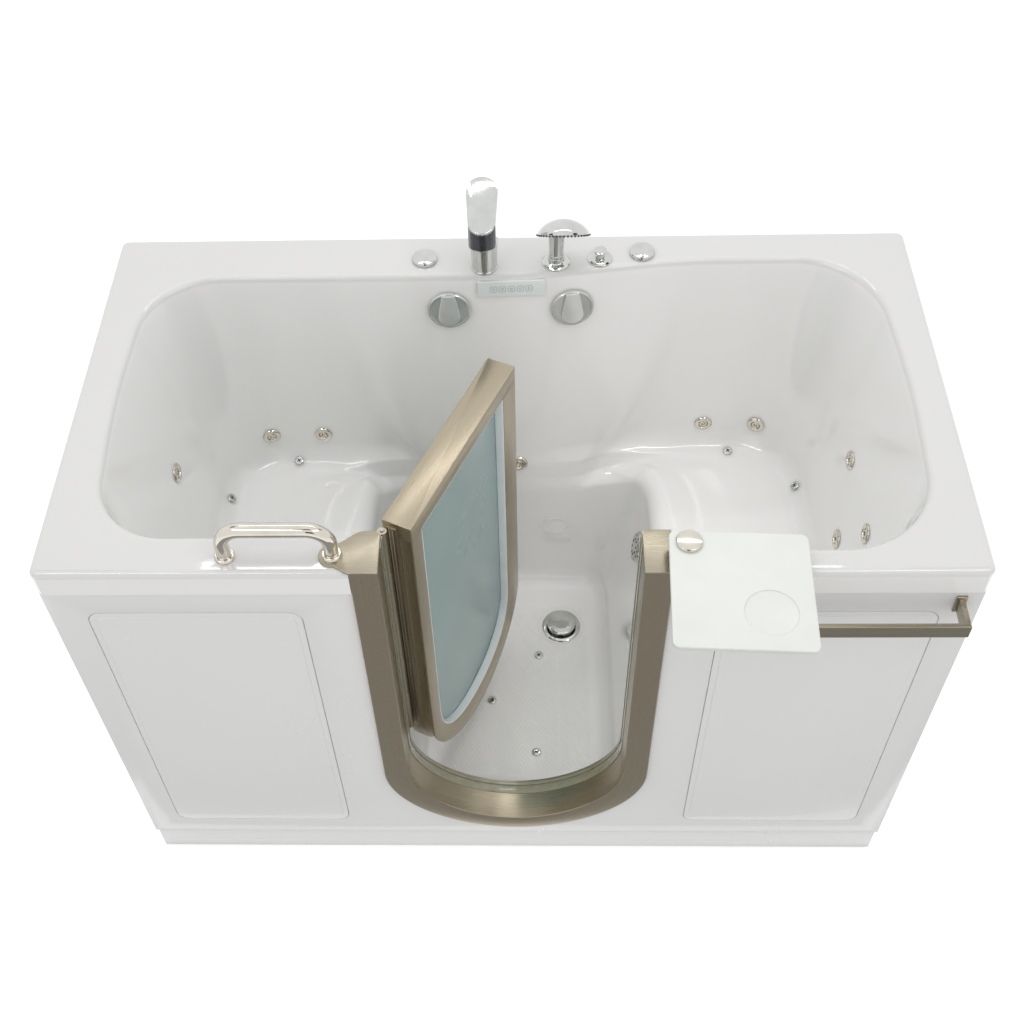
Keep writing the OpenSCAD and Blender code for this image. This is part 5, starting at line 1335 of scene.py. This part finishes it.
def makeAirJets():
    dome = [(0, 0.6), (10, 0.6), (10, 1.6), (9.2, 2.6), (7.6, 3.3), (5.2, 3.6), (4.6, 3.1), (0, 3.1)]
    domes, slots = Form(), Form()
    places = [(p, 12.8) for p in wellAirPlaces] + [(p @ spot(0, 0, 2.2), 22) for p in seatAirPlaces]
    for place, tail in places:
        domes.lathe(rounded(dome, 0.4, 3), place, 44)
        domes.rod(6, -tail, 1, place, 28)
        for turn in (35, 125):
            turned = place @ spot(0, 0, 0, turnZ=turn)
            slots.plate(roundRect(-4.4, -1.1, 4.4, 1.1, 1, 5), 3.0, 3.5, 0.15, turned)
    fitForm("airJets", domes, "air_jets")
    fitForm("airJetMarks", slots, "air_jets", surfaces["pump_plastic"], takesOver=False)


def makeSuction():
    dome = [(0, 3), (19, 3), (19, -30), (24, -30), (24, 1.6), (34, 1.6), (34, 4.6), (31, 9.6), (24, 11.6),
            (0, 12.1)]
    cover, holes = Form().lathe(rounded(dome, 0.9, 3), suctionPlace, 72), Form()
    for count, radius, size in ((8, 16, 3.5), (12, 27, 2)):
        for i in range(count):
            a = 2 * math.pi * i / count
            holes.rod(size, 1, 30, suctionPlace @ spot(radius * math.cos(a), radius * math.sin(a), 0), 20)
    fit(carved(objectOf("suctionCover", meshOf("suctionCover", cover)), holes), "suction_cover")


makeStrip()
makeDials()
makeDrains()
makeHalos()
makePlugs()
makeJets()
makeAirJets()
makeSuction()
print("strip, dials, drains and jets made")

feetPlaces = [(-722.5, -367.5), (0, -367.5), (722.5, -367.5), (0, 0), (-722.5, 382.5), (0, 382.5),
              (722.5, 382.5)]


def makeFeet():
    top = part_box("levelling_feet")[1][2] / mm
    form = Form()
    for x, y in feetPlaces:
        at = spot(x, y, 0)
        form.lathe(rounded([(0, 0), (22, 0), (22, 5), (16, 10), (0, 10)], 1.2, 4), at, 48)
        form.rod(5, 9, top, at, 24)
        form.plate(arc(0, 0, 9, 0, 300, 5), top - 6.9, top - 0.1, 0.6, at)
    fitForm("levellingFeet", form, "levelling_feet")


makeFeet()
for name, node, width in (
        ("sideRails", "base_side_rails", 1.2), ("longRails", "base_long_rails", 1.2),
        ("cornerPosts", "corner_posts", 1.2), ("seatRails", "seat_rails", 1.2),
        ("equipmentBoards", "equipment_boards", 0.8), ("pumpMotor", "pump_motor", 2.0),
        ("pumpHousing", "pump_housing", 2.0), ("airBlower", "air_blower", 2.5),
        ("controlBox", "control_box", 2.0), ("valveBodies", "valve_bodies", 0.6), ("deckNuts", "deck_nuts", 0.8),
        ("supplyManifold", "supply_manifold", 0.5), ("panelMagnets", "panel_magnets", 0.5),
        ("hingePin", "hinge_pin", 0.4)):
    softened(name, node, width)
print("base and machinery made")
